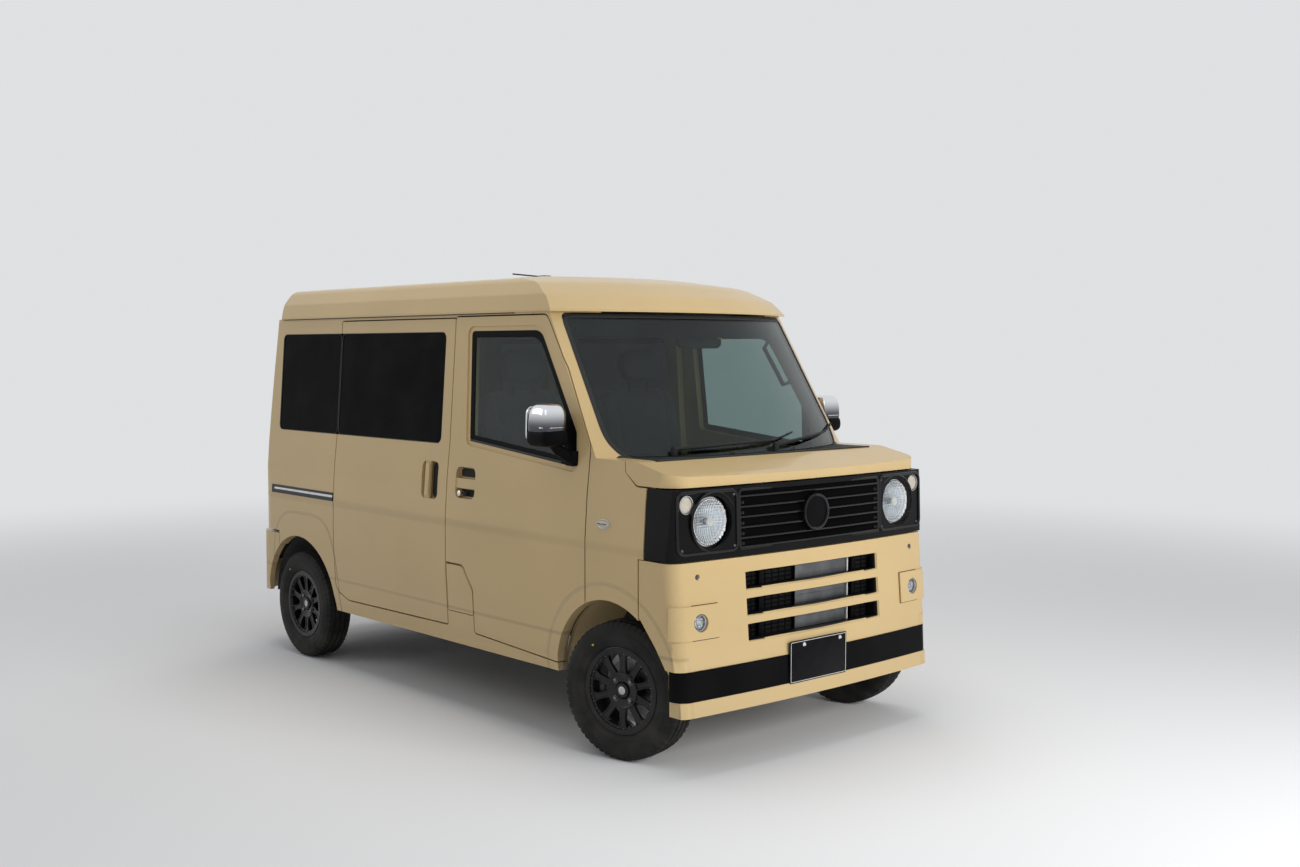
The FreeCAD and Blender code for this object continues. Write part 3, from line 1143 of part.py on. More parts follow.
def build_mirror():
    """The right-hand door mirror with its foot on the door."""
    housing = side_prism(MIRROR_HOUSING, -MIRROR_Y[1], -MIRROR_Y[0])
    foot = side_prism(MIRROR_FOOT, -MIRROR_FOOT_Y[1], -MIRROR_FOOT_Y[0])
    arm = bar(V(DOOR_FRONT_X - 98.0, -HALF - 37.5, 1150.0), V(DOOR_FRONT_X - 113.0, -HALF - 52.5, 1200.0),
              MIRROR_ARM)
    body = section_prism(-SEAT_GAP, DOOR_REAR_X, FRONT_AXLE_X)
    return housing.fuse(foot).fuse(arm).cut(body)


def rear_bumper_form(inset, bottom, top):
    return bowed_block(TAIL_X + inset, BUMPER_HALF - inset * 0.9, REAR_BOW, REAR_BUMPER_CORNER - inset,
                       bottom, top)


def build_rear_bumper():
    bottom, top = REAR_BUMPER_Z
    hollow = rear_bumper_form(REAR_BUMPER_WALL, bottom - 10.0, top + 10.0)
    skin = rear_bumper_form(0.0, bottom, top).cut(hollow)
    skin = skin.common(section_prism(1.0, BEHIND_X, REAR_AXLE_X))
    skin = skin.common(box(BEHIND_X, REAR_ARCH_X - REAR_BUMPER_EDGE, -BEYOND_Y, BEYOND_Y, bottom, top))
    void = arch_void(REAR_ARCH_X, REAR_ARCH_Z, REAR_ARCH_RADIUS)
    skin = skin.cut(void).cut(mirrored(void))
    inner, outer, low, high = TAIL_LAMP
    for side in (-1.0, 1.0):
        skin = skin.cut(side_box(side, BEHIND_X, TAIL_X + 197.5, HALF - inner, HALF - outer, low, high))
        skin = skin.fuse(side_box(side, TAIL_X + 32.5, RAIL_REAR_X - SEAT_GAP, BRACKET_Y[0], BRACKET_Y[1],
                                  515.0, 590.0))
        skin = skin.cut(along_x(BEHIND_X, side * PLATE_PITCH / 2.0, REAR_PLATE_BOLT_Z, PLATE_HOLE, 200.0))
    return skin


def build_tail_lamps():
    inner, outer, low, high = TAIL_LAMP
    form = rear_bumper_form(-1.0, low + 1.0, high - 1.0).cut(rear_bumper_form(30.0, low - 10.0, high + 10.0))
    lamps = []
    for side in (-1.0, 1.0):
        space = side_box(side, BEHIND_X, TAIL_X + 197.5, HALF - inner + SEAT_GAP, HALF - outer - SEAT_GAP,
                         low, high)
        lamps.append(form.common(space))
    return Part.makeCompound(lamps)


def build_cowl():
    """The dark panel between the windscreen and the hood."""
    rows = (
        (COWL_BACK_X, HOOD_TOP_Z, 0.0),
        (COWL_BACK_X, COWL_LOW, 0.0),
        (COWL_FRONT_X, COWL_LOW, 0.0),
        (COWL_FRONT_X, HOOD_TOP_Z, 0.0),
    )
    half = COWL_HALF - SEAT_GAP
    return side_prism(rows, -half, half)


def screen_point(y, z, lift):
    """A point on the windscreen's outer face, lifted off it along x."""
    lean = math.sqrt(1.0 + SCREEN_SLOPE ** 2)
    sag = SCREEN_RADIUS - math.sqrt(SCREEN_RADIUS ** 2 - y ** 2)
    x = SCREEN_TOP_X + SCREEN_SLOPE * (SCREEN_TOP_Z - z) - sag * lean
    return V(x + lift, y, z)


def build_wipers():
    """Two arms with their blades, each arm bent to follow the glass."""
    arms = []
    foot_z = HOOD_TOP_Z + SEAT_GAP
    arm_z = HOOD_TOP_Z + 19.0
    for root_y, tip_y, tip_z in WIPERS:
        foot = screen_point(root_y, WAIST_Z, WIPER_LIFT)
        shape = Part.makeCylinder(11.0, 26.0, V(foot.x, foot.y, foot_z))
        points = [V(foot.x, foot.y, arm_z)]
        for part in (0.5, 1.0):
            along_z = arm_z + (tip_z - arm_z) * part
            points.append(screen_point(root_y + (tip_y - root_y) * part, along_z, WIPER_LIFT + 4.0))
        blade = [
            screen_point(tip_y - 200.0, arm_z + 6.0, WIPER_LIFT - 4.0),
            screen_point(tip_y, tip_z, WIPER_LIFT - 2.0),
            screen_point(tip_y + 160.0, tip_z + 30.0, WIPER_LIFT - 4.0),
        ]
        for line, radius, knob in ((points, 5.0, 7.5), (blade, 6.0, 8.5)):
            for start, stop in zip(line, line[1:]):
                shape = shape.fuse(bar(start, stop, radius))
            shape = shape.fuse(Part.makeSphere(knob, line[1]))
        arms.append(shape.fuse(Part.makeSphere(7.5, points[-1])))
    return Part.makeCompound(arms)


def build_antenna():
    half_length, half_width, height = ANTENNA_FOOT
    run, rise, radius = ANTENNA_ROD
    foot_z = HEIGHT + SEAT_GAP
    rows = (
        (ANTENNA_X - half_length, foot_z, 2.0),
        (ANTENNA_X + half_length, foot_z, 2.0),
        (ANTENNA_X + half_length / 2.0, foot_z + height, 10.0),
        (ANTENNA_X - half_length / 2.0, foot_z + height, 6.0),
    )
    start = V(ANTENNA_X, 0, HEIGHT + 20.0)
    return side_prism(rows, -half_width, half_width).fuse(bar(start, start + V(-run, 0, rise), radius))


def build_rails():
    """The sliding doors' middle rails in the rear quarters."""
    rail = wall_band(-3.0, RAIL_DEPTH, RAIL_X[0], RAIL_X[1], RAIL_Z[0], RAIL_Z[1])
    return Part.makeCompound([rail, mirrored(rail)])


def build_rear_axle():
    """The rear axle with its drums, links and spring posts."""
    middle = V(REAR_AXLE_X, 0, TYRE_RADIUS)
    drum_radius, drum_width = DRUM
    drum_y = REAR_TRACK / 2.0 - 94.0
    reach = REAR_TRACK / 2.0 + HUB_INNER - SEAT_GAP
    axle = bar(middle - V(0, drum_y + 4.0, 0), middle + V(0, drum_y + 4.0, 0), AXLE_TUBE)
    axle = axle.fuse(Part.makeSphere(DIFF_RADIUS, middle))
    for side in (-1.0, 1.0):
        hub = middle + V(0, side * drum_y, 0)
        axle = axle.fuse(Part.makeCylinder(drum_radius, drum_width, hub, V(0, side, 0)))
        axle = axle.fuse(bar(hub, middle + V(0, side * reach, 0), STUB_RADIUS))
        link = V(REAR_AXLE_X, side * LINK_Y, TYRE_RADIUS - 6.0)
        axle = axle.fuse(bar(link, V(LINK_FRONT[0], side * LINK_Y, LINK_FRONT[1]), LINK_RADIUS))
        post = V(REAR_AXLE_X, side * SPRING_Y, TYRE_RADIUS + 12.0)
        axle = axle.fuse(bar(post, V(post.x, post.y, RAIL_TOP), SPRING_RADIUS))
    return axle


def build_front_suspension():
    """The crossmember under the rails, and on each side an arm, a strut and the two eyes of the kingpin."""
    x = FRONT_AXLE_X
    links = box(x - 40.0, x + 40.0, -RAIL_OUTER_Y + 2.0, RAIL_OUTER_Y - 2.0, 330.0, 400.0 - SEAT_GAP)
    for side in (-1.0, 1.0):
        pin = side * KINGPIN_Y
        low_eye = Part.makeCylinder(BALL_RADIUS, 18.0, V(x, pin, KNUCKLE_BOTTOM - SEAT_GAP - 18.0))
        high_eye = Part.makeCylinder(BALL_RADIUS, 16.0, V(x, pin, KNUCKLE_TOP + SEAT_GAP))
        arm_end = V(x, pin - side * 40.0, 192.0)
        strut_foot = V(x, pin - side * 65.0, 430.0)
        links = links.fuse(low_eye).fuse(high_eye)
        links = links.fuse(bar(V(x, side * (RAIL_OUTER_Y - 80.0), 340.0), arm_end, 14.0))
        links = links.fuse(bar(arm_end + V(0, -side * 4.0, 3.0), V(x, pin - side * 4.0, 196.0), 8.0))
        links = links.fuse(bar(V(x, pin - side * 2.0, KNUCKLE_TOP + 9.0), strut_foot, 8.0))
        links = links.fuse(bar(strut_foot - V(0, 0, 20.0), V(x, pin - side * 75.0, 646.0), 20.0))
    return links


def build_under():
    """The engine, driveline, tank, exhaust and radiator."""
    engine = box(*ENGINE_X, -ENGINE_HALF_WIDTH, ENGINE_HALF_WIDTH, *ENGINE_Z)
    gearbox = box(GEARBOX_REAR_X, ENGINE_X[0], -GEARBOX_HALF, GEARBOX_HALF, ENGINE_Z[0], GEARBOX_TOP)
    keep("engine", engine.fuse(gearbox).removeSplitter())
    axle_middle = V(REAR_AXLE_X, 0, TYRE_RADIUS)
    away = (V(GEARBOX_REAR_X, 0, 420.0) - axle_middle).normalize()
    shaft = bar(axle_middle + away * (DIFF_RADIUS + SEAT_GAP), V(GEARBOX_REAR_X - 8.0, 0, 418.0),
                SHAFT_RADIUS)
    flange = along_x(GEARBOX_REAR_X - 24.0, 0, 414.0, FLANGE_RADIUS, 24.0 - SEAT_GAP)
    keep("propeller_shaft", shaft.fuse(flange))
    keep("rear_axle", build_rear_axle())
    rows = frame_rows(TANK_X[0], TANK_X[1], TANK_Z[0], TANK_Z[1], TANK_CORNER)
    keep("fuel_tank", side_prism(rows, RAIL_OUTER_Y + SEAT_GAP, TANK_OUTER_Y))
    x, z, radius, half = SILENCER
    pipe_y, pipe_top, pipe_end, pipe_radius = TAIL_PIPE
    exhaust = bar(V(x, -half, z), V(x, half, z), radius)
    exhaust = exhaust.fuse(bar(V(x, pipe_y, pipe_top), V(x - 80.0, pipe_y, pipe_end), pipe_radius))
    for y in (-HANGER_Y, HANGER_Y):
        eye = V(x - 5.0, y, z + radius - 5.0)
        exhaust = exhaust.fuse(bar(eye, V(x - 5.0, y, CROSSMEMBERS[0][1] - SEAT_GAP), 6.0))
    keep("exhaust", exhaust)
    support = CROSSMEMBERS[-1][1] + CROSS_HEIGHT + SEAT_GAP
    keep("radiator", box(*RADIATOR_X, *RADIATOR_Y, support, RADIATOR_TOP))
    keep("front_suspension", build_front_suspension())


def build_wheels():
    """Four tyres and wheels and the two knuckles."""
    tyre, rim = build_wheel()
    for name, side in (("right", -1.0), ("left", 1.0)):
        flip = side > 0
        front_y = side * FRONT_TRACK / 2.0
        rear_y = side * REAR_TRACK / 2.0
        keep("front_tyre_" + name, steered(placed(tyre, FRONT_AXLE_X, front_y, flip), side))
        keep("front_wheel_" + name, steered(placed(rim, FRONT_AXLE_X, front_y, flip), side))
        keep("rear_tyre_" + name, placed(tyre, REAR_AXLE_X, rear_y, flip))
        keep("rear_wheel_" + name, placed(rim, REAR_AXLE_X, rear_y, flip))
        keep("knuckle_" + name, build_knuckle(side))


def build_body():
    """Body sides, doors, glass, roof, hood and tailgate."""
    outer, shell = build_shell()
    side = build_sides(outer, shell, True)
    plain_side = build_sides(outer, shell, False)
    door, sliding, lid = build_doors(shell, True)
    plain_door = build_doors(shell, False)[0]
    door_glass, rear_panes = build_glass()
    keep("body_side_right", side)
    keep("body_side_left", mirrored(plain_side))
    keep("front_door_right", door)
    keep("front_door_left", mirrored(plain_door))
    keep("sliding_door_right", sliding)
    keep("sliding_door_left", mirrored(sliding))
    keep("fuel_lid", lid)
    keep("front_door_glass_right", door_glass)
    keep("front_door_glass_left", mirrored(door_glass))
    keep("rear_side_glass", rear_panes)
    keep("windscreen", build_screen())
    keep("roof_panel", roof_cap(0.0).cut(roof_cap(ROOF_WALL)))
    gate, pane = build_gate(outer)
    keep("tailgate", gate)
    keep("tailgate_glass", pane)
    keep("hood", build_hood())


def build_all():
    build_body()
    skin, strip = build_bumper()
    keep("front_bumper", skin)
    keep("bumper_strip", strip)
    keep("grille_panel", build_grille())
    keep("front_lamps", build_lamps())
    keep("cowl", build_cowl())
    keep("wipers", build_wipers())
    keep("antenna", build_antenna())
    keep("slide_rails", build_rails())
    keep("rear_bumper", build_rear_bumper())
    keep("tail_lamps", build_tail_lamps())
    keep("floor_pan", build_floor())
    keep("chassis_frame", build_frame())
    build_under()
    seats, bench = build_seats()
    keep("front_seats", seats)
    keep("rear_bench", bench)
    keep("dashboard", build_dash())
    wheel, column = build_steering()
    keep("steering_wheel", wheel)
    keep("steering_column", column)
    mirror = build_mirror()
    keep("mirror_right", mirror)
    keep("mirror_left", mirrored(mirror))
    build_wheels()


if __name__ == "__main__":
    build_all()
for node, shape in NODES.items():
    shape.exportStep("parts/" + node + ".step")
    found = shape.BoundBox
    print("%-24s solids %d valid %s volume %.4f  x %.0f %.0f y %.0f %.0f z %.0f %.0f" % (
        node, len(shape.Solids), shape.isValid(), shape.Volume / 1e9,
        found.XMin, found.XMax, found.YMin, found.YMax, found.ZMin, found.ZMax))
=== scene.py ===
import logging
import math
from dataclasses import dataclass
from enum import Enum
from typing import Any, Callable, Sequence

import bmesh
import bpy
import numpy as np
from mathutils import Matrix, Vector


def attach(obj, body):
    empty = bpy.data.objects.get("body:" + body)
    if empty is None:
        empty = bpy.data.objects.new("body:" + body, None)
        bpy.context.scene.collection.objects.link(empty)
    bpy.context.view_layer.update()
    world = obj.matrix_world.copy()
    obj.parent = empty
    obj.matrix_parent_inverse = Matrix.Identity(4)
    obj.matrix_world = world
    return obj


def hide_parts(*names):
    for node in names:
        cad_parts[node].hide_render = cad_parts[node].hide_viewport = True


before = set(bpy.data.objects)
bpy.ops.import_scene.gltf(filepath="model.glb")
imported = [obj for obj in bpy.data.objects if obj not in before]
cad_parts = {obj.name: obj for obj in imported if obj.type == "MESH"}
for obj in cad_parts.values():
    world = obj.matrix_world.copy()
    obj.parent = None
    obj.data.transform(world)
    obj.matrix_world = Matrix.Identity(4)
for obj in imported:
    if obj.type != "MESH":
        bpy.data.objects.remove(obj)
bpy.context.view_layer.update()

logging.basicConfig(level=logging.INFO, format="%(message)s")
log = logging.getLogger("kei_van")

Array = np.ndarray
Pair = tuple[float, float]
Triple = tuple[float, float, float]
Row = Sequence[float]

MM = 0.001
TURN = 2.0 * math.pi
FRONT_AXLE, REAR_AXLE = 1.281, -1.169
FRONT_TRACK, REAR_TRACK = 1.305, 1.3
KINGPIN_Y = 0.6
REST_STEER = math.radians(12.5)
TYRE_RADIUS = 0.268
SIDES = (-1.0, 1.0)
NAMED_SIDES = (("right", -1.0), ("left", 1.0))
AHEAD, BEHIND, UP = (1.0, 0.0, 0.0), (-1.0, 0.0, 0.0), (0.0, 0.0, 1.0)
DRIVER_Y = -0.345
BUMPER_X, BUMPER_LEAN, BUMPER_FOOT = 1.6975, -0.078, 0.227


class Slot(Enum):
    """The record's material slots."""

    PAINT = "body_paint"
    RAIL = "bright_rail"
    PANEL = "gloss_black"
    LENS = "lamp_lens"
    RED = "red_lens"
    TRIM = "black_trim"
    MIRROR = "mirror_shell"
    CABIN = "cabin_plastic"
    SEAT = "seat_cloth"
    UNDER = "dark_underbody"
    ENGINE = "engine_metal"
    STEEL = "black_steel"
    RUBBER = "tyre_rubber"
    WHEEL = "wheel_black"


class Value:
    """One output of a shader tree that arithmetic can be written on."""

    def __init__(self, tree: "Tree", socket: Any) -> None:
        """Keep the tree and the socket."""
        self.tree, self.socket = tree, socket

    def maths(self, operation: str, *parts: Any) -> "Value":
        """A Math node on the given parts."""
        return self.tree.node("Math", {"operation": operation}, dict(enumerate(parts)))

    def __add__(self, other: Any) -> "Value":
        """self + other."""
        return self.maths("ADD", self, other)

    __radd__ = __add__

    def __sub__(self, other: Any) -> "Value":
        """self - other."""
        return self.maths("SUBTRACT", self, other)

    def __rsub__(self, other: Any) -> "Value":
        """other - self."""
        return self.maths("SUBTRACT", other, self)

    def __mul__(self, other: Any) -> "Value":
        """self times other."""
        return self.maths("MULTIPLY", self, other)

    __rmul__ = __mul__

    def __pow__(self, other: Any) -> "Value":
        """self to the power of other."""
        return self.maths("POWER", self, other)

    def absolute(self) -> "Value":
        """The value without its sign."""
        return self.maths("ABSOLUTE", self)

    def sine(self) -> "Value":
        """The sine of the value."""
        return self.maths("SINE", self)

    def step(self, low: float, high: float) -> "Value":
        """0 below low, 1 above high, and a smooth rise between them."""
        settings = {"interpolation_type": "SMOOTHSTEP"}
        return self.tree.node("MapRange", settings, {0: self, 1: low, 2: high, 3: 0.0, 4: 1.0})


class Tree:
    """The nodes of a material, or of the world."""

    def __init__(self, name: str, world: bool = False) -> None:
        """Make an empty material or world of that name."""
        self.owner = (bpy.data.worlds if world else bpy.data.materials).new(name)
        self.owner.use_nodes = True
        self.nodes, self.links = self.owner.node_tree.nodes, self.owner.node_tree.links
        self.nodes.clear()

    def put(self, socket: Any, value: Any) -> None:
        """Link a value to a socket, or set the socket."""
        if isinstance(value, Value):
            self.links.new(value.socket, socket)
        else:
            socket.default_value = value

    def node(self, kind: str, settings: dict | None = None, inputs: dict | None = None,
            out: int | str = 0) -> Value:
        """Any shader node.

        Args:
            kind: the node's type, without its ShaderNode prefix.
            settings: its properties, set before its sockets.
            inputs: values or links, by socket name or number.
            out: the output that is returned.

        Returns:
            That output.
        """
        made = self.nodes.new("ShaderNode" + kind)
        for key, value in (settings or {}).items():
            setattr(made, key, value)
        for key, value in (inputs or {}).items():
            self.put(made.inputs[key], value)
        return Value(self, made.outputs[out])

    def where(self, axis: int | None = None) -> Value:
        """Object coordinates, or one of them."""
        place = self.node("TexCoord", out="Object")
        return place if axis is None else self.node("SeparateXYZ", inputs={0: place}, out=axis)

    def noise(self, scale: float, detail: float = 3.0) -> Value:
        """Noise from 0 to 1."""
        inputs = {"Vector": self.where(), "Scale": scale, "Detail": detail, "Roughness": 0.55}
        return self.node("TexNoise", inputs=inputs)

    def blend(self, share: Any, first: Any, second: Any) -> Value:
        """A colour between two colours."""
        colours = [c if isinstance(c, Value) else (*c, 1.0) for c in (first, second)]
        return self.node("Mix", {"data_type": "RGBA"}, {0: share, 6: colours[0], 7: colours[1]}, out=2)

    def bump(self, height: Value, distance: float = 1.0) -> Value:
        """A normal from a height, in units of the distance."""
        return self.node("Bump", inputs={"Strength": 1.0, "Distance": distance, "Height": height})

    def finish(self, **sockets: Any) -> bpy.types.Material:
        """Close the tree with a Principled BSDF whose sockets are named with underscores."""
        inputs = {key.replace("_", " "): value for key, value in sockets.items()}
        return self.close(self.node("BsdfPrincipled", inputs=inputs))

    def close(self, shader: Value, kind: str = "Material") -> Any:
        """Link a shader to the output, and return the material or world."""
        output = self.nodes.new("ShaderNodeOutput" + kind)
        self.links.new(shader.socket, output.inputs["Surface"])
        return self.owner


DUST: Triple = (0.42, 0.38, 0.32)
# Black of the painted shade deep inside the bumper slots.
SLOT_SHADE_BLACK: Triple = (0.004, 0.004, 0.004)
# Near black of the painted shade in the deep field of louvres.
LOUVRE_SHADE_BLACK: Triple = (0.0012, 0.0012, 0.0012)
# Pale colour of the painted sky reflection on the mirror shells.
PAINTED_SKY_REFLECTION: Triple = (0.88, 0.89, 0.9)


@dataclass(frozen=True)
class Finish:
    """A finish with mottling, grain and dust low down.

    Attributes:
        name: the material's name.
        colour: its middle colour.
        rough: middle roughness.
        metallic: 0 or 1.
        coat: weight of the clear layer.
        shade: how far mottling darkens the colour.
        patch: scale of the mottling.
        grain: scale of the surface grain.
        depth: depth of the grain in metres.
        dust: share of dust near the ground.
        spread: how far the roughness varies.
        gloss: strength of the plain reflection.
    """

    name: str
    colour: Triple
    rough: float = 0.5
    metallic: float = 0.0
    coat: float = 0.0
    shade: float = 0.15
    patch: float = 7.0
    grain: float = 500.0
    depth: float = 0.0
    dust: float = 0.0
    spread: float = 0.12
    gloss: float = 0.5

    def sockets(self, tree: Tree) -> dict[str, Any]:
        """The Principled inputs of this finish in a tree."""
        low = tuple(c * (1.0 - self.shade) for c in self.colour)
        high = tuple(min(1.0, c * (1.0 + 0.5 * self.shade)) for c in self.colour)
        colour = tree.blend(tree.noise(self.patch).step(0.3, 0.7), low, high)
        rough = tree.noise(self.patch * 4.0) * self.spread + (self.rough - 0.5 * self.spread)
        if self.dust > 0.0:
            height = 1.0 - tree.where(2).step(0.12, 0.8)
            share = height * tree.noise(9.0, 6.0).step(0.3, 0.75) * self.dust
            colour = tree.blend(share, colour, DUST)
            rough = rough + share * 0.4
        made = {"Base_Color": colour, "Roughness": rough, "Metallic": self.metallic, "Coat_Weight": self.coat,
            "Coat_Roughness": 0.05, "Specular_IOR_Level": self.gloss}
        if self.depth > 0.0:
            made["Normal"] = tree.bump(tree.noise(self.grain, 2.0), self.depth)
        return made

    def build(self) -> bpy.types.Material:
        """Make the material."""
        tree = Tree(self.name)
        return tree.finish(**self.sockets(tree))


@dataclass(frozen=True)
class Paint(Finish):
    """Body colour under a clear coat, with the pressed lines of the sides in its normal."""

    def relief(self, tree: Tree) -> Value:
        """Height in metres of the shoulder, the lower crease and the two arch flares.

        shoulder(z) rises to 0.83 and falls above it; each flare is a raised field round its arch, even in
        front and flat-topped, (dx / 0.345)^4 + (z / 0.742)^4 < 1, behind.
        """
        x, z = tree.where(0), tree.where(2)
        side = tree.where(1).absolute().step(0.655, 0.695)
        shoulder = z.step(0.79, 0.834) - z.step(0.834, 0.96)
        sill = 1.0 - z.step(0.432, 0.452)
        rear = ((x + 1.118).absolute() * (1.0 / 0.345)) ** 4.0 + (z * (1.0 / 0.742)) ** 4.0
        front = ((x - 1.262) ** 2.0 + (z - 0.287) ** 2.0) ** 0.5
        flares = (1.0 - rear.step(0.92, 1.04)) * 0.014 + (1.0 - front.step(0.375, 0.4)) * 0.011
        return (shoulder * 0.015 + sill * 0.013 + flares) * side

    def sockets(self, tree: Tree) -> dict[str, Any]:
        """Inputs with flakes in the colour, and the relief and a fine peel as the normal."""
        made = super().sockets(tree)
        flakes = tree.noise(2600.0, 1.0) * 0.16 + 0.92
        made["Base_Color"] = tree.node("VectorMath", {"operation": "SCALE"},
            {0: made["Base_Color"], 3: flakes})
        made["Normal"] = tree.bump(self.relief(tree) + tree.noise(160.0, 2.0) * 0.00003)
        return made


@dataclass(frozen=True)
class BumperPaint(Paint):
    """The bumper's paint, which turns black a little way inside its slots, a painted shade."""

    def sockets(self, tree: Tree) -> dict[str, Any]:
        """Painted shade: black where the depth behind the bumper, end - y^2 / 16 - lean (z - foot) - x, is
        over a few mm.
        """
        made = super().sockets(tree)
        x, y, z = (tree.where(axis) for axis in range(3))
        depth = (z - BUMPER_FOOT) * BUMPER_LEAN + BUMPER_X - y ** 2.0 * 0.0625 - x
        slots = (1.0 - y.absolute().step(0.392, 0.394)) * z.step(0.46, 0.461) * (1.0 - z.step(0.74, 0.741))
        # Painted shade inside the slots, beyond a few mm deep.
        made["Base_Color"] = tree.blend(depth.step(0.006, 0.008) * slots, made["Base_Color"], SLOT_SHADE_BLACK)
        return made


@dataclass(frozen=True)
class ShellChrome(Finish):
    """Bright metal with a painted sky reflection, which turns it paler between two heights.

    Attributes:
        low: where it starts to turn paler.
        high: where it is palest.
    """

    low: float = 1.262
    high: float = 1.335

    def sockets(self, tree: Tree) -> dict[str, Any]:
        """The finish's inputs with the painted sky reflection on the upper part."""
        made = super().sockets(tree)
        # Painted reflection: the upper part is blended towards a pale sky colour.
        made["Base_Color"] = tree.blend(tree.where(2).step(self.low, self.high), made["Base_Color"],
            PAINTED_SKY_REFLECTION)
        return made


@dataclass(frozen=True)
class NosePanel(Finish):
    """The lamp panel's black, with painted shade in the deep field of louvres, where it also loses its shine.
    """

    def sockets(self, tree: Tree) -> dict[str, Any]:
        """The finish's inputs, dull and darkened by painted shade in the field of louvres."""
        made = super().sockets(tree)
        z = tree.where(2)
        louvres = 1.0 - tree.where(1).absolute().step(0.402, 0.406)
        louvres = louvres * z.step(0.818, 0.822) * (1.0 - z.step(1.034, 1.038))
        made["Coat_Weight"] = (1.0 - louvres) * self.coat
        # Painted shade: the deep field of louvres is darkened to near black.
        made["Base_Color"] = tree.blend(louvres, made["Base_Color"], LOUVRE_SHADE_BLACK)
        made["Roughness"] = made["Roughness"] + louvres * 0.5
        return made


@dataclass(frozen=True)
class Glass:
    """A pane: a tint under a reflection that grows with the fifth power of how it turns away.

    Attributes:
        name: the material's name.
        tint: colour of what passes one face.
        gloss: reflection at right angles, times the plain one of glass.
    """

    name: str
    tint: Triple
    gloss: float = 1.0

    def build(self) -> bpy.types.Material:
        """Make the material."""
        tree = Tree(self.name)
        smear = tree.noise(5.0, 5.0).step(0.35, 0.85)
        through = tree.node("BsdfTransparent", inputs={"Color": (*self.tint, 1.0)})
        shine = tree.node("BsdfAnisotropic", inputs={"Color": (1.0, 1.0, 1.0, 1.0),
            "Roughness": smear * 0.03})
        facing = tree.node("LayerWeight", inputs={"Blend": 0.5}, out="Facing")
        share = (facing ** 5.0 * 0.96 + 0.04) * self.gloss + smear * 0.006
        return tree.close(tree.node("MixShader", inputs={0: share, 1: through, 2: shine}))


@dataclass(frozen=True)
class Ribbed:
    """A clear lamp lens or a bright reflector with flutes.

    Attributes:
        name: the material's name.
        colour: body colour.
        clear: share of light that passes.
        metallic: 1 for a reflector.
        pitch: distance between flutes.
        depth: depth of the flutes.
    """

    name: str
    colour: Triple
    clear: float = 0.0
    metallic: float = 0.0
    pitch: float = 0.006
    depth: float = 0.0006

    def build(self) -> bpy.types.Material:
        """Make the material, whose flutes are two crossed sine waves."""
        tree = Tree(self.name)
        turn = TURN / self.pitch
        waves = (tree.where(1) * turn).sine() + (tree.where(2) * turn).sine() * 0.6
        normal = tree.bump(waves * 0.5, self.depth)
        cloud = tree.noise(30.0).step(0.3, 0.8)
        colour = tree.blend(cloud, self.colour, tuple(c * 0.82 for c in self.colour))
        body = tree.node("BsdfPrincipled", inputs={"Base Color": colour, "Metallic": self.metallic,
            "Roughness": cloud * 0.08 + 0.06, "Normal": normal})
        if self.clear <= 0.0:
            return tree.close(body)
        through = tree.node("BsdfTransparent", inputs={"Color": (*self.colour, 1.0)})
        return tree.close(tree.node("MixShader", inputs={0: self.clear, 1: body, 2: through}))


@dataclass(frozen=True)
class Cloth:
    """Woven cloth.

    Attributes:
        name: the material's name.
        colour: thread colour.
        pitch: distance between threads.
    """

    name: str
    colour: Triple
    pitch: float = 0.0022

    def build(self) -> bpy.types.Material:
        """Make the material, whose threads are two crossed sine waves."""
        tree = Tree(self.name)
        turn = TURN / self.pitch
        warp = (tree.where(0) * turn + tree.where(2) * turn).sine()
        weave = warp * (tree.where(1) * turn).sine() * 0.5 + 0.5
        fuzz = tree.noise(60.0, 6.0)
        dark = tuple(c * 0.45 for c in self.colour)
        colour = tree.blend(weave * 0.6 + fuzz * 0.4, dark, self.colour)
        normal = tree.bump(weave + fuzz * 0.5, 0.0005)
        return tree.finish(Base_Color=colour, Roughness=fuzz * 0.1 + 0.85, Sheen_Weight=0.3, Normal=normal)


SAND = {"colour": (0.56, 0.405, 0.192), "rough": 0.46, "coat": 0.45, "shade": 0.035, "patch": 2.0,
    "dust": 0.1, "spread": 0.06, "gloss": 0.3}
PAINT = Paint("body_paint", **SAND)
BUMPER_PAINT = BumperPaint("bumper_paint", **SAND)
PANEL = NosePanel("panel_black", (0.0035, 0.0035, 0.004), 0.32, coat=0.15, shade=0.3, patch=5.0, dust=0.01,
    gloss=0.06)
GLOSS_BLACK = Finish("gloss_black", (0.004, 0.004, 0.0045), 0.26, coat=0.45, shade=0.3, patch=5.0, gloss=0.12)
SATIN = Finish("satin_black", (0.0035, 0.0035, 0.004), 0.42, shade=0.3, grain=900.0, depth=0.00012,
    gloss=0.05)
TRIM = Finish("black_trim", (0.016, 0.016, 0.017), 0.6, shade=0.25, grain=1200.0, depth=0.00015, dust=0.06,
    gloss=0.25)
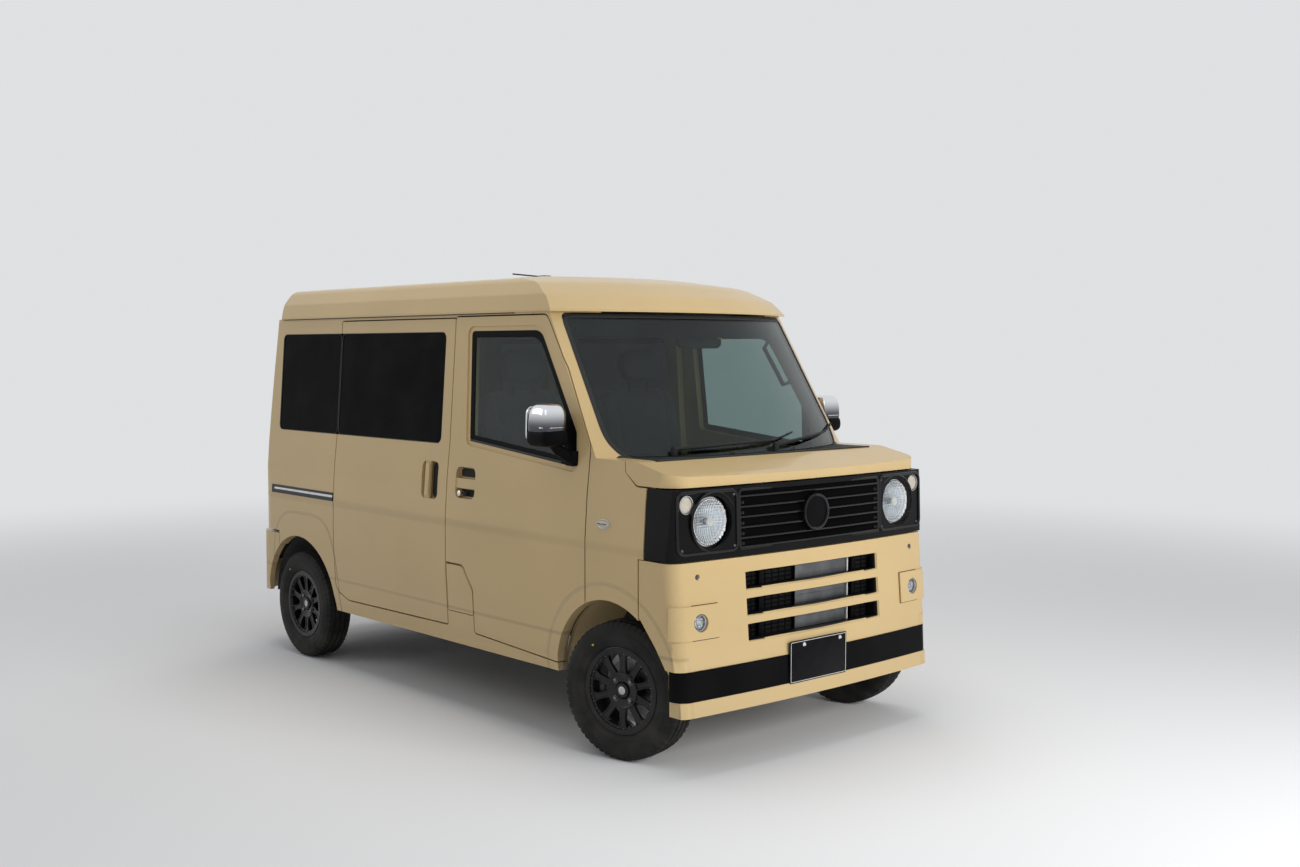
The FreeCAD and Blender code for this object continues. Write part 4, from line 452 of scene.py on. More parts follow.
# Painted shade in the lamp wells, handle cups and the duct behind the bumper; also the real black print and
# top band on the glass.
SHADOW_AND_PRINT_BLACK = Finish("shadow_and_print_black", (0.006, 0.006, 0.006), 0.85, shade=0.3, grain=300.0, depth=0.0003)
DARK_CHROME = ShellChrome("dark_chrome", (0.1, 0.1, 0.115), 0.1, 1.0, shade=0.1, spread=0.05)
CHROME = Finish("chrome", (0.8, 0.8, 0.81), 0.07, 1.0, shade=0.06, spread=0.05)
BRIGHT = Finish("bright_rail", (0.62, 0.62, 0.63), 0.24, 1.0, shade=0.1, patch=20.0, dust=0.08)
BEZEL = Finish("pale_ring", (0.5, 0.5, 0.51), 0.2, 1.0, shade=0.1, spread=0.08)
RUBBER = Finish("tyre_rubber", (0.011,) * 3, 0.7, shade=0.3, patch=12.0, grain=700.0, depth=0.0002, dust=0.07,
    gloss=0.2)
SEAL = Finish("seal_rubber", (0.014, 0.014, 0.014), 0.55, shade=0.2, grain=800.0, depth=0.0001)
WHEEL = Finish("wheel_black", (0.005, 0.005, 0.006), 0.28, coat=0.3, shade=0.3, patch=14.0, dust=0.03,
    gloss=0.15)
NUT = Finish("dark_nut", (0.16, 0.16, 0.17), 0.32, 1.0, shade=0.25, patch=40.0)
CAP = Finish("cap_metal", (0.46, 0.46, 0.47), 0.3, 1.0, shade=0.12, patch=25.0, dust=0.05)
CABIN = Finish("cabin_plastic", (0.03, 0.03, 0.032), 0.66, shade=0.2, grain=1100.0, depth=0.0002)
LINER = Finish("headliner", (0.3, 0.295, 0.28), 0.92, shade=0.1, grain=900.0, depth=0.0004)
UNDER = Finish("dark_underbody", (0.03, 0.03, 0.031), 0.8, shade=0.35, patch=10.0, grain=260.0,
    depth=0.0006, dust=0.3)
STEEL = Finish("black_steel", (0.03, 0.029, 0.029), 0.55, shade=0.35, patch=14.0, grain=300.0, depth=0.0003,
    dust=0.3)
ENGINE = Finish("engine_metal", (0.17, 0.17, 0.172), 0.5, 1.0, shade=0.35, patch=12.0, grain=260.0,
    depth=0.0005, dust=0.3)
BRAKE = Finish("brake_iron", (0.28, 0.26, 0.25), 0.42, 1.0, shade=0.3, patch=30.0, grain=400.0, depth=0.0002)
PIPE = Finish("exhaust_steel", (0.26, 0.23, 0.2), 0.45, 1.0, shade=0.4, patch=18.0, grain=240.0,
    depth=0.0003, dust=0.3)
CORE = Finish("radiator_metal", (0.13, 0.13, 0.135), 0.5, 1.0, shade=0.3, patch=30.0, grain=800.0,
    depth=0.001)
PLATE = Finish("bare_plate", (0.005, 0.005, 0.006), 0.4, shade=0.3, patch=20.0, gloss=0.08)
PALE = Finish("pale_edge", (0.62, 0.62, 0.6), 0.45, shade=0.08, patch=20.0)
YELLOW = Finish("yellow_mark", (0.75, 0.5, 0.06), 0.6, shade=0.12, patch=90.0)
MAT_PANEL = Finish("grey_panel", (0.21, 0.215, 0.22), 0.5, 1.0, shade=0.2, patch=16.0, grain=300.0,
    depth=0.0002)
BULB = Finish("bulb_glass", (0.55, 0.54, 0.5), 0.12, coat=1.0, shade=0.15, patch=60.0)
CLEAR = Glass("clear_glass", (0.62, 0.69, 0.68), 0.7)
DARK = Glass("dark_glass", (0.12, 0.12, 0.13), 0.16)
LENS = Glass("lamp_lens", (0.93, 0.95, 0.96), 1.3)
REFLECTOR = Ribbed("reflector", (0.86, 0.87, 0.88), metallic=1.0, pitch=0.011, depth=0.0012)
INDICATOR = Ribbed("pale_lens", (0.72, 0.66, 0.56), 0.25, pitch=0.004, depth=0.0004)
RED = Ribbed("red_lens", (0.52, 0.012, 0.01), 0.15, pitch=0.007, depth=0.0007)
AMBER = Ribbed("amber_lens", (0.7, 0.2, 0.02), 0.15, pitch=0.007, depth=0.0007)
CLOTH = Cloth("seat_cloth", (0.055, 0.055, 0.06))
VINYL = Finish("seat_vinyl", (0.03, 0.03, 0.032), 0.55, shade=0.2, grain=600.0, depth=0.0003)

_MADE: dict[Any, bpy.types.Material] = {}


def material(finish: Any) -> bpy.types.Material:
    """The material of a finish, made once."""
    if finish not in _MADE:
        _MADE[finish] = finish.build()
    return _MADE[finish]


Place = Callable[[Array, Array, Any], Array]

HALF = 0.7375
SECTION_Z = np.array([0.28, 0.36, 0.6, 0.83, 1.0, 1.15, 1.64, 1.716])
SECTION_IN = np.array([0.024, 0.012, 0.0, 0.0, 0.011, 0.027, 0.062, 0.066])


def mm(*values: float) -> Array:
    """Pairs of millimetres as rows in metres: insets and heights of rings, or radii and distances."""
    return np.array(values, float).reshape(-1, 2) * MM


def line(first: Row, last: Row, count: int = 2) -> Array:
    """Evenly spaced points of a straight line."""
    return np.linspace(first, last, count)


def side_place(side: float) -> Place:
    """Puts x, z and a height outwards on a body side, y = side (half(z) + height)."""

    def place(u: Array, v: Array, height: Any) -> Array:
        """A point by x, z and height."""
        y = side * (HALF - np.interp(v, SECTION_Z, SECTION_IN) + height)
        return np.stack([u, y + 0.0 * u, v + 0.0 * u], -1)

    return place


def end_place(end: float, way: float, bow: float = 8.0, lean: float = 0.0, foot: float = 0.0) -> Place:
    """Puts y, z and a height outwards on a bowed end of the van, which leans above a foot.

    x = end + way (height - y^2 / (2 bow)) + lean max(z - foot, 0)

    Args:
        end: x of the end in the middle, at the foot.
        way: 1 for the front and -1 for the rear.
        bow: radius of the bow.
        lean: how far x grows per metre of height.
        foot: where the lean starts.

    Returns:
        The place.
    """

    def place(u: Array, v: Array, height: Any) -> Array:
        """A point by y, z and height."""
        x = end + way * (height - u * u / (2.0 * bow)) + lean * np.maximum(v - foot, 0.0)
        return np.stack([x, u + 0.0 * x, v + 0.0 * x], -1)

    return place


def flat_place(origin: Row, across: Row, up: Row) -> Place:
    """Puts u, v and a height on a plane through the origin, height along across x up."""
    base, a, b = (np.array(part, float) for part in (origin, across, up))
    a, b = a / np.linalg.norm(a), b / np.linalg.norm(b)
    out = np.cross(a, b)

    def place(u: Array, v: Array, height: Any) -> Array:
        """A point by its run across, its run upwards and its height."""
        u, v = np.asarray(u, float), np.asarray(v, float)
        return base + u[..., None] * a + v[..., None] * b + np.broadcast_to(height, u.shape)[..., None] * out

    return place


def spot(place: Place, u: float, v: float, height: float = 0.0) -> Array:
    """A single point of a place."""
    return place(np.array(u), np.array(v), height)


def rounded(width: float, height: float, radius: float, count: int = 6) -> Array:
    """A rectangle's outline round the origin with rounded corners."""
    turns = np.linspace(0.0, TURN / 4.0, count)
    rows = []
    for index, way in enumerate(((1, 1), (-1, 1), (-1, -1), (1, -1))):
        angle = turns + index * TURN / 4.0
        centre = np.array(way) * (width / 2.0 - radius, height / 2.0 - radius)
        rows.append(centre + radius * np.stack([np.cos(angle), np.sin(angle)], -1))
    return np.concatenate(rows)


def circle(radius: float, count: int = 40) -> Array:
    """A circle's outline round the origin."""
    angle = np.arange(count) * TURN / count
    return radius * np.stack([np.cos(angle), np.sin(angle)], -1)


def soft(rows: Sequence[Row], count: int = 5) -> Array:
    """An outline through rows of a, b and corner radius, each corner a quadratic curve."""
    points = np.array(rows, float)[:, :2]
    out = []
    t = np.linspace(0.0, 1.0, count)[:, None]
    for index, row in enumerate(rows):
        here = points[index]
        back, ahead = points[index - 1] - here, points[(index + 1) % len(rows)] - here
        a = here + back / np.linalg.norm(back) * row[2]
        b = here + ahead / np.linalg.norm(ahead) * row[2]
        out.append((1 - t) ** 2 * a + 2 * t * (1 - t) * here + t ** 2 * b)
    return np.concatenate(out)


def drawn_in(outline: Array, amount: float) -> Array:
    """An outline moved inwards along its normals."""
    if amount == 0.0:
        return outline
    ahead = np.roll(outline, -1, 0) - outline
    ahead /= np.maximum(np.linalg.norm(ahead, axis=1), 1e-9)[:, None]
    normal = np.stack([ahead[:, 1], -ahead[:, 0]], -1)
    area = np.sum(outline[:, 0] * np.roll(outline[:, 1], -1) - np.roll(outline[:, 0], -1) * outline[:, 1])
    mean = normal + np.roll(normal, 1, 0)
    mean /= np.maximum(np.sum(mean * mean, 1), 0.5)[:, None] / 2.0
    return outline - math.copysign(1.0, area) * mean * amount


class Surface:
    """Vertices and faces of several closed forms, built as one piece."""

    def __init__(self) -> None:
        """Start empty."""
        self.points: list[Array] = []
        self.faces: list[tuple[int, ...]] = []
        self.count = 0

    def add(self, points: Array, faces: Any) -> "Surface":
        """Points and faces that count from the first of these points."""
        points = np.asarray(points, float).reshape(-1, 3)
        self.faces.extend(tuple(int(i) + self.count for i in face) for face in faces)
        self.points.append(points)
        self.count += len(points)
        return self

    def grid(self, points: Array, hoop: bool = False) -> "Surface":
        """Quads over (rows, columns, 3) points; columns run round, a hoop's rows too, others are capped."""
        rows, columns = points.shape[:2]
        i, j = np.arange(rows if hoop else rows - 1)[:, None], np.arange(columns)[None]
        low, high, ahead = i * columns, (i + 1) % rows * columns, (j + 1) % columns
        faces = list(np.stack([low + j, low + ahead, high + ahead, high + j], -1).reshape(-1, 4))
        if not hoop:
            faces += [range(columns), range((rows - 1) * columns, rows * columns)]
        return self.add(points, faces)

    def plate(self, outline: Array, place: Place, rings: Array, centre: Row = (0.0, 0.0),
            hoop: bool = False) -> "Surface":
        """A closed form of rings, each the outline drawn in by an inset and put at a height.

        Args:
            outline: rows of u and v.
            place: puts u, v and height in space.
            rings: inset and height of each ring, capped at both ends.
            centre: added to the outline.
            hoop: whether the last ring joins the first instead.

        Returns:
            This surface.
        """
        rows = [place(*(drawn_in(outline, inset) + centre).T, height) for inset, height in rings]
        return self.grid(np.stack(rows), hoop)

    def frame(self, outline: Array, place: Place, rings: Array, centre: Row = (0.0, 0.0)) -> "Surface":
        """A closed hoop along the outline whose section runs through the rings and back to the first."""
        return self.plate(outline, place, rings, centre, True)

    def revolve(self, profile: Array, origin: Row, axis: Row, count: int = 40,
            hoop: bool = False) -> "Surface":
        """A profile of radius and distance along the axis, turned round it; capped unless it is a hoop."""
        way = Vector(axis).normalized()
        across = way.orthogonal().normalized()
        rows = np.array(profile, float)[:, None]
        flat = rows[..., :1] * circle(1.0, count)
        points = flat[..., :1] * np.array(across) + flat[..., 1:] * np.array(way.cross(across))
        return self.grid(np.array(origin) + points + rows[..., 1:] * np.array(way), hoop)

    def tube(self, path: Any, radius: Any, count: int = 8, flat: float = 1.0) -> "Surface":
        """A round bar along a path, its section drawn flat by a factor on one side."""
        path = np.asarray(path, float)
        ahead = np.gradient(path, axis=0)
        ahead /= np.linalg.norm(ahead, axis=1)[:, None]
        across = np.cross(ahead, UP if abs(ahead[:, 2]).mean() < 0.8 else AHEAD)
        across /= np.linalg.norm(across, axis=1)[:, None]
        up = np.cross(across, ahead)
        ring = circle(1.0, count)
        size = np.broadcast_to(radius, len(path))[:, None, None]
        around = ring[:, :1] * across[:, None] * flat + ring[:, 1:] * up[:, None]
        return self.grid(path[:, None] + size * around)

    def box(self, low: Row, high: Row, edge: float = 0.003) -> "Surface":
        """A block with chamfered edges."""
        low, high = np.array(low, float), np.array(high, float)
        size, middle = high - low, (low + high) / 2.0
        edge = min(edge, float(size.min()) / 2.2)
        place = flat_place((middle[0], middle[1], low[2]), AHEAD, (0.0, 1.0, 0.0))
        rings = ((edge, 0.0), (0.0, edge), (0.0, size[2] - edge), (edge, size[2]))
        return self.plate(rounded(size[0], size[1], edge, 3), place, rings)

    def pillow(self, low: Row, high: Row, power: float,
            bend: Callable[[Array], Array] | None = None) -> "Surface":
        """A crowned cushion filling a box: each coordinate is sign(c) |c|^power of a sphere's, then bent."""
        low, high = np.array(low, float), np.array(high, float)
        around = np.arange(64) * TURN / 64
        rise = np.linspace(0.02 - math.pi / 2.0, math.pi / 2.0 - 0.02, 40)[:, None]

        def shape(value: Array, strength: float = power) -> Array:
            """The value's size to a power, with its sign."""
            return np.sign(value) * np.abs(value) ** strength

        wide = shape(np.cos(rise))
        unit = np.stack([wide * shape(np.cos(around)), wide * shape(np.sin(around)),
            shape(np.sin(rise), 0.8) + 0.0 * around], -1)
        points = (low + high) / 2.0 + unit * (high - low) / 2.0
        return self.grid(bend(points) if bend else points)

    def mirrored(self) -> "Surface":
        """The same forms on the other side as well."""
        faces = [face[::-1] for face in self.faces]
        return self.add(np.concatenate(self.points) * (1.0, -1.0, 1.0), faces)

    def build(self, name: str, finish: Any, slot: Slot, body: str = "root", replaces: Sequence[str] = (),
            sharp: float = 35.0) -> bpy.types.Object:
        """Make the piece, with its faces outwards, on its body.

        Args:
            name: the piece's name.
            finish: what it is made of.
            slot: not used.
            body: the CAD body it rides on.
            replaces: CAD nodes that it stands for.
            sharp: edges sharper than this many degrees stay sharp.

        Returns:
            The object.
        """
        mesh = bpy.data.meshes.new(name)
        mesh.from_pydata(np.concatenate(self.points).tolist(), [], self.faces)
        return finished(mesh, name, finish, slot, body, replaces, sharp)


def link(made: bpy.types.Object) -> None:
    """Put an object in the scene."""
    bpy.context.scene.collection.objects.link(made)


def surfaces(count: int) -> list[Surface]:
    """Empty surfaces."""
    return [Surface() for _ in range(count)]


def dress(body: str, *rows: tuple[Surface, str, Any, Slot]) -> None:
    """Build surfaces on one body, each with its name, finish and slot."""
    for surface, name, finish, slot in rows:
        surface.build(name, finish, slot, body)


def finished(mesh: Any, name: str, finish: Any, slot: Slot, body: str, replaces: Sequence[str],
        sharp: float) -> bpy.types.Object:
    """An object from a mesh with normals, material and body."""
    work = bmesh.new()
    work.from_mesh(mesh)
    bmesh.ops.remove_doubles(work, verts=work.verts, dist=1e-6)
    bmesh.ops.recalc_face_normals(work, faces=work.faces)
    work.to_mesh(mesh)
    work.free()
    mesh.polygons.foreach_set("use_smooth", np.ones(len(mesh.polygons), bool))
    mesh.set_sharp_from_angle(angle=math.radians(sharp))
    mesh.materials.clear()
    mesh.materials.append(material(finish))
    made = bpy.data.objects.new(name, mesh)
    link(made)
    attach(made, body)
    if replaces:
        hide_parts(*replaces)
    log.info("%s: %d faces", name, len(mesh.polygons))
    return made


def round_over(work: bmesh.types.BMesh, height: float, width: float) -> None:
    """Round the outer bends above a height broadly.

    Args:
        work: the mesh, changed in place.
        height: bends lower than this stay.
        width: how wide the rounding is.
    """
    centre = sum((v.co for v in work.verts), Vector()) / len(work.verts)
    low, high = math.radians(8.0), math.radians(75.0)
    chosen = []
    for e in work.edges:
        middle = 0.5 * (e.verts[0].co + e.verts[1].co)
        if len(e.link_faces) == 2 and middle.z > height and low < e.calc_face_angle(0.0) < high:
            outward = e.link_faces[0].normal + e.link_faces[1].normal
            away = Vector((0.2 * (middle.x - centre.x), middle.y - centre.y,
                3.0 * (middle.z - height + 0.02)))
            if outward.dot(away) > 0.0:
                chosen.append(e)
    bmesh.ops.bevel(work, geom=chosen, offset=width, segments=4, profile=0.5, affect="EDGES",
        clamp_overlap=True)


def cad_copy(node: str, name: str, finish: Any, slot: Slot, body: str = "root", edge: float = 0.0022,
        levels: Row = (), wide: Pair | None = None) -> None:
    """A CAD node's merged copy with softened edges, which stands for it.

    Args:
        node: the CAD node.
        name: the piece's name.
        finish: what it is made of.
        slot: not used.
        body: the CAD body it rides on.
        edge: width of the softened edges.
        levels: heights at which its faces are cut, so that bends shade evenly.
        wide: height and width of the broad rounding of its outer bends above that height, if given.
    """
    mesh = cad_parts[node].data.copy()
    mesh.name = name
    work = bmesh.new()
    work.from_mesh(mesh)
    bmesh.ops.remove_doubles(work, verts=work.verts, dist=2e-5)
    bmesh.ops.dissolve_limit(work, angle_limit=math.radians(0.6), verts=work.verts, edges=work.edges)
    for z in levels:
        geometry = work.verts[:] + work.edges[:] + work.faces[:]
        bmesh.ops.bisect_plane(work, geom=geometry, dist=1e-6, plane_co=(0.0, 0.0, z), plane_no=UP)
    if wide is not None:
        round_over(work, *wide)
    limit = math.radians(32.0)
    sharp = [e for e in work.edges if len(e.link_faces) == 2 and e.calc_face_angle(0.0) > limit]
    bmesh.ops.bevel(work, geom=sharp, offset=edge, segments=2, profile=0.5, affect="EDGES",
        clamp_overlap=True)
    bmesh.ops.triangulate(work, faces=[f for f in work.faces if len(f.verts) > 4])
    work.to_mesh(mesh)
    work.free()
    if "custom_normal" in mesh.attributes:
        mesh.attributes.remove(mesh.attributes["custom_normal"])
    made = finished(mesh, name, finish, slot, body, (node,), 40.0)
    made.modifiers.new("even", "WEIGHTED_NORMAL").keep_sharp = True


@dataclass
class Bodywork:
    """The painted panels, from their CAD solids.

    Attributes:
        band: half the height of the strip in which a bend of the side shades over.
        seam: y and z of the roof's drip seams.
    """

    band: float = 0.03
    seam: Pair = (0.6795, 1.7155)

    def levels(self) -> list[float]:
        """Heights just above and below each bend of the body section."""
        return [float(z + way * self.band) for z in SECTION_Z[1:-1] for way in SIDES]

    def build(self) -> None:
        """Make every painted panel, and the drip seams on both roof sides."""
        levels = self.levels()
        for side in ("right", "left"):
            door = "front_door_" + side
            for node, name, body in (("body_side_", "side_panel_", "root"),
                    ("sliding_door_", "sliding_panel_", "root"), ("front_door_", "door_panel_", door)):
                cad_copy(node + side, name + side, PAINT, Slot.PAINT, body, levels=levels)
        cad_copy("roof_panel", "roof_skin", PAINT, Slot.PAINT, wide=(1.74, 0.026))
        cad_copy("hood", "hood_skin", PAINT, Slot.PAINT, "hood", 0.004, wide=(1.08, 0.016))
        cad_copy("tailgate", "tailgate_panel", PAINT, Slot.PAINT, "tailgate", 0.003)
        cad_copy("fuel_lid", "fuel_lid_panel", PAINT, Slot.PAINT, "fuel_lid", 0.001)
        cad_copy("front_bumper", "bumper_skin", BUMPER_PAINT, Slot.PAINT, edge=0.0025)
        cad_copy("rear_bumper", "rear_bumper_skin", PAINT, Slot.PAINT, edge=0.004)
        cad_copy("bumper_strip", "bumper_band", SATIN, Slot.TRIM, edge=0.002)
        cad_copy("grille_panel", "lamp_panel", PANEL, Slot.PANEL, edge=0.0012)
        cad_copy("cowl", "cowl_panel", TRIM, Slot.TRIM, edge=0.003)
        seam = Surface()
        y, z = self.seam
        for side in SIDES:
            seam.tube(line((-1.4, side * y, z), (0.6, side * y, z), 24), 0.0035)
        seam.build("roof_seals", SEAL, Slot.TRIM)


CARRIED: dict[Any, str] = {
    CLEAR: "windscreen front_door_glass_right front_door_glass_left", DARK: "rear_side_glass tailgate_glass",
    UNDER: "floor_pan fuel_tank", STEEL: "chassis_frame propeller_shaft rear_axle front_suspension",
    ENGINE: "engine", PIPE: "exhaust", BRAKE: "knuckle_right knuckle_left", CORE: "radiator",
    CABIN: "steering_column", TRIM: "antenna", SEAL: "slide_rails"}


def dress_carried() -> None:
    """Give the CAD nodes that stay their finishes."""
    for finish, nodes in CARRIED.items():
        for node in nodes.split():
            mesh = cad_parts[node].data
            mesh.materials.clear()
            mesh.materials.append(material(finish))
            log.info("%s: carried over", node)


def dome(radius: float, foot: float, rise: float, back: Array, first: float = 0.05, count: int = 8) -> Array:
    """A lens's profile: radius sin(t) and foot + rise cos(t), for t from first to 1.5, and then its back."""
    t = np.linspace(first, 1.5, count)
    return np.concatenate([np.stack([radius * np.sin(t), foot + rise * np.cos(t)], -1), back])


@dataclass
class Lamps:
    """Head, small and fog lamps with what surrounds them.

    Attributes:
        floor: x of the floor of the head lamp's bowl.
        face: x of the panel round the head lamp.
        head: x, y and z of the right head lamp's rim.
        small: the same for the small lamp.
        fog: the same for the fog lamp.
    """

    floor: float = 1.591
    face: float = 1.621
    head: Triple = (1.609, -0.5386, 0.9294)
    small: Triple = (1.613, -0.6582, 0.9992)
    fog: Triple = (1.641, -0.6178, 0.5679)

    def build(self) -> None:
        """Make both sides' lamps, each a lens over a bowl in a ring."""
        bowls, rings, lenses, bulbs, dark, fogs, pits = surfaces(7)
        _, y, z = self.head
        floor, well = (self.floor, y, z), (self.face, y + 0.01, z)
        hoops = (
            (bowls, floor, 56, mm(12, 0, 30, .5, 55, 6, 76, 17, 83, 26, 86, 26, 84, 12, 60, -.5, 12, -.6)),
            (rings, self.head, 64, mm(84.5, -6, 84.5, 1.5, 88, 4, 92.5, 3.5, 93.5, -4, 93.5, -14, 88.5, -14,
                88.5, -6)),
            (pits, well, 64, mm(93.5, -13, 108.5, 6.5, 108.5, -6, 93.5, -18)),
            (dark, well, 64, mm(106.5, 4, 109, 10.5, 112.5, 12, 117, 8.5, 118.5, -4, 108.5, -6)),
            (bowls, self.small, 36, mm(4, -21, 24, -18, 30.5, -6, 32, -6, 32, -21.5, 4, -21.5)),
            (rings, self.small, 40, mm(31.5, -4, 31.8, 3, 34.5, 3.5, 35.5, -4)),
            (rings, self.fog, 40, mm(27.5, -4, 28, 6, 31, 7.5, 32.5, 3, 32.5, -20, 27.5, -20)),
            (bowls, self.fog, 36, mm(3, -20, 16, -17, 26.5, -5, 27.2, -5, 27.2, -22, 3, -22)))
        domes = (
            (lenses, self.head, 56, dome(0.0835, -0.004, 0.02, mm(83.5, -8, 50, -3, 2, -1), 0.03, 12)),
            (bulbs, floor, 20, mm(2, 24, 7, 22, 10, 16, 10, 1)),
            (bulbs, floor, 28, mm(3, 30, 16, 28.5, 19, 25, 16, 24)),
            (fogs, self.small, 36, dome(0.0312, -0.004, 0.01, mm(31.2, -6, 2, -5))),
            (lenses, self.fog, 36, dome(0.0272, -0.001, 0.007, mm(27.2, -6, 2, -4))))
        for forms, hoop in ((hoops, True), (domes, False)):
            for surface, at, count, profile in forms:
                surface.revolve(profile, at, AHEAD, count, hoop)
        bowls.mirrored().build("lamp_bowls", REFLECTOR, Slot.LENS, replaces=("front_lamps",))
        for surface in (rings, lenses, bulbs, fogs, dark, pits):
            surface.mirrored()
        dress("root", (rings, "lamp_rings", BEZEL, Slot.LENS), (lenses, "lamp_lenses", LENS, Slot.LENS),
            (bulbs, "lamp_bulbs", BULB, Slot.LENS), (fogs, "small_lamp_lenses", INDICATOR, Slot.LENS),
            (dark, "lamp_surrounds", GLOSS_BLACK, Slot.PANEL), (pits, "lamp_wells", SHADOW_AND_PRINT_BLACK, Slot.PANEL))


@dataclass
class Nose:
    """What is fixed to the lamp panel and the bumper.

    Attributes:
        panel: x of the lamp panel's face in the middle.
        slots: bottom and top of each bumper slot.
        slot_half: half the slots' width.
        rib_half: half the length of the rib on each slot's lower edge.
        pad: inner and outer y, bottom and top of the painted shadow lines round the fog lamps' pads.
        louvres: bottom of each louvre.
        reach: half the width of the louvres.
        middle: height of the disc in the middle of the louvres.
        disc: radius at which the louvres meet the disc's ring.
        plate: width and height of the bare plates.
    """

    panel: float = 1.65
    slots: tuple[Pair, ...] = ((0.663, 0.732), (0.565, 0.633), (0.469, 0.537))
    slot_half: float = 0.385
    rib_half: float = 0.3
    pad: tuple[float, float, float, float] = (0.531, 0.655, 0.505, 0.633)
    louvres: tuple[float, ...] = (0.821, 0.855, 0.895, 0.934, 0.972, 1.012)
    reach: float = 0.404
    middle: float = 0.931
    disc: float = 0.07
    plate: Pair = (0.33, 0.165)

    def build(self) -> None:
        """Make the nose's details."""
        panel = end_place(self.panel, 1.0, lean=-0.0305, foot=0.793)
        bumper = end_place(BUMPER_X, 1.0, lean=BUMPER_LEAN, foot=BUMPER_FOOT)
        self.lamp_fields(panel)
        self.louvre_field(panel)
        self.ring()
        self.slot_edges(bumper)
        self.behind_slots(bumper)
        self.plates()

    def lamp_fields(self, place: Place) -> None:
        """The raised field round each head lamp, a hoop with screws at its corners."""
        hoops, screws = surfaces(2)
        rings = mm(0, -4, 0, 3, 3, 6.5, 8, 7, 12, 4.5, 14, -4)
        hoops.frame(rounded(0.3, 0.238, 0.036), place, rings, (-0.56, 0.93))
        for y, z in ((-0.683, 0.834), (-0.43, 0.834), (-0.43, 1.026)):
            screws.revolve(mm(.5, 4, 4, 3.5, 5.8, 1, 5.8, -3), spot(place, y, z), AHEAD, 14)
        dress("root", (hoops.mirrored(), "lamp_fields", GLOSS_BLACK, Slot.PANEL),
            (screws.mirrored(), "panel_screws", NUT, Slot.PANEL))

    def louvre_field(self, place: Place) -> None:
        """The louvres' edges from the disc outwards, the rim round them, and tabs with screws at their ends.

        A louvre meets the disc's ring at y = sqrt(disc^2 - rise^2), rise being its height above the middle.
        """
        rim, tabs, bars = surfaces(3)
        for z in np.array(self.louvres) + 0.004:
            inner = math.sqrt(max(self.disc ** 2 - (z - self.middle) ** 2, 0.0)) or 0.0005
            for low, high in ((-self.reach, -inner), (inner, self.reach)):
                bars.tube(place(np.linspace(low, high, 16), np.full(16, z), -0.0015), 0.0052, 10, 1.5)
        rings = mm(0, -4, 0, 3, 3, 6, 9, 6, 12, 2, 12, -4)
        rim.frame(rounded(0.822, 0.232, 0.02), place, rings, (0.0, 0.929))
        for z in (0.838, 0.875, 0.914, 0.953, 0.992):
            low = spot(place, -0.398, z - 0.007, -0.01)
            tabs.box(low, low + (0.0115, 0.018, 0.014), 0.002)
            tabs.revolve(mm(.5, 4.5, 3.5, 4, 4.5, 1, 4.5, -2), spot(place, -0.389, z), AHEAD, 12)
        dress("root", (bars, "louvre_bars", GLOSS_BLACK, Slot.PANEL),
            (rim, "louvre_rim", GLOSS_BLACK, Slot.PANEL),
            (tabs.mirrored(), "louvre_tabs", GLOSS_BLACK, Slot.PANEL))

    def ring(self) -> None:
        """The plain raised ring round a bare disc in the middle of the louvres."""
        ring, disc = surfaces(2)
        at = (self.panel, 0.0, self.middle)
        ring.revolve(mm(60, 4, 61, 12, 66, 16, 71, 14, 73.5, 7, 73.5, -10, 60, -10), at, AHEAD, 64, True)
        disc.revolve(mm(1, 11.5, 30, 11.2, 60.5, 9, 60.5, 0), at, AHEAD, 48)
        dress("root", (ring, "nose_ring", GLOSS_BLACK, Slot.PANEL), (disc, "nose_disc", SATIN, Slot.PANEL))

    def slot_edges(self, place: Place) -> None:
        """The lip round each bumper slot, a rib on its lower edge, and thin dark lines of painted shadow
        along three edges of the lamp pads.
        """
        lips, gaps = surfaces(2)
        inner, outer, low, high = self.pad
        # Painted shadow: thin dark tubes along the pads' bottom, top and inner edges.
        for side in SIDES:
            across = side * np.linspace(inner, outer, 12)
            for z in (low, high):
                gaps.tube(place(across, np.full(12, z), 0.0), 0.0013, 6)
            gaps.tube(place(np.full(4, across[0]), np.linspace(low, high, 4), 0.0), 0.0013, 6)
        gaps.build("pad_shadow_lines", SEAL, Slot.TRIM)
        for low, high in self.slots:
            lips.plate(rounded(2.0 * self.rib_half, 0.014, 0.003, 4), place,
                mm(3, -20, 0, -16, 0, -3.5, 3, -1), (0.0, low - 0.001))
            outline = rounded(2.0 * self.slot_half + 0.004, high - low + 0.004, 0.01, 5)
            lips.frame(outline, place, mm(0, -10, 0, -.5, 3.5, -3, 8, -12, 9, -28, 2, -28),
                (0.0, (low + high) / 2.0))
        lips.build("slot_lips", BUMPER_PAINT, Slot.PAINT)

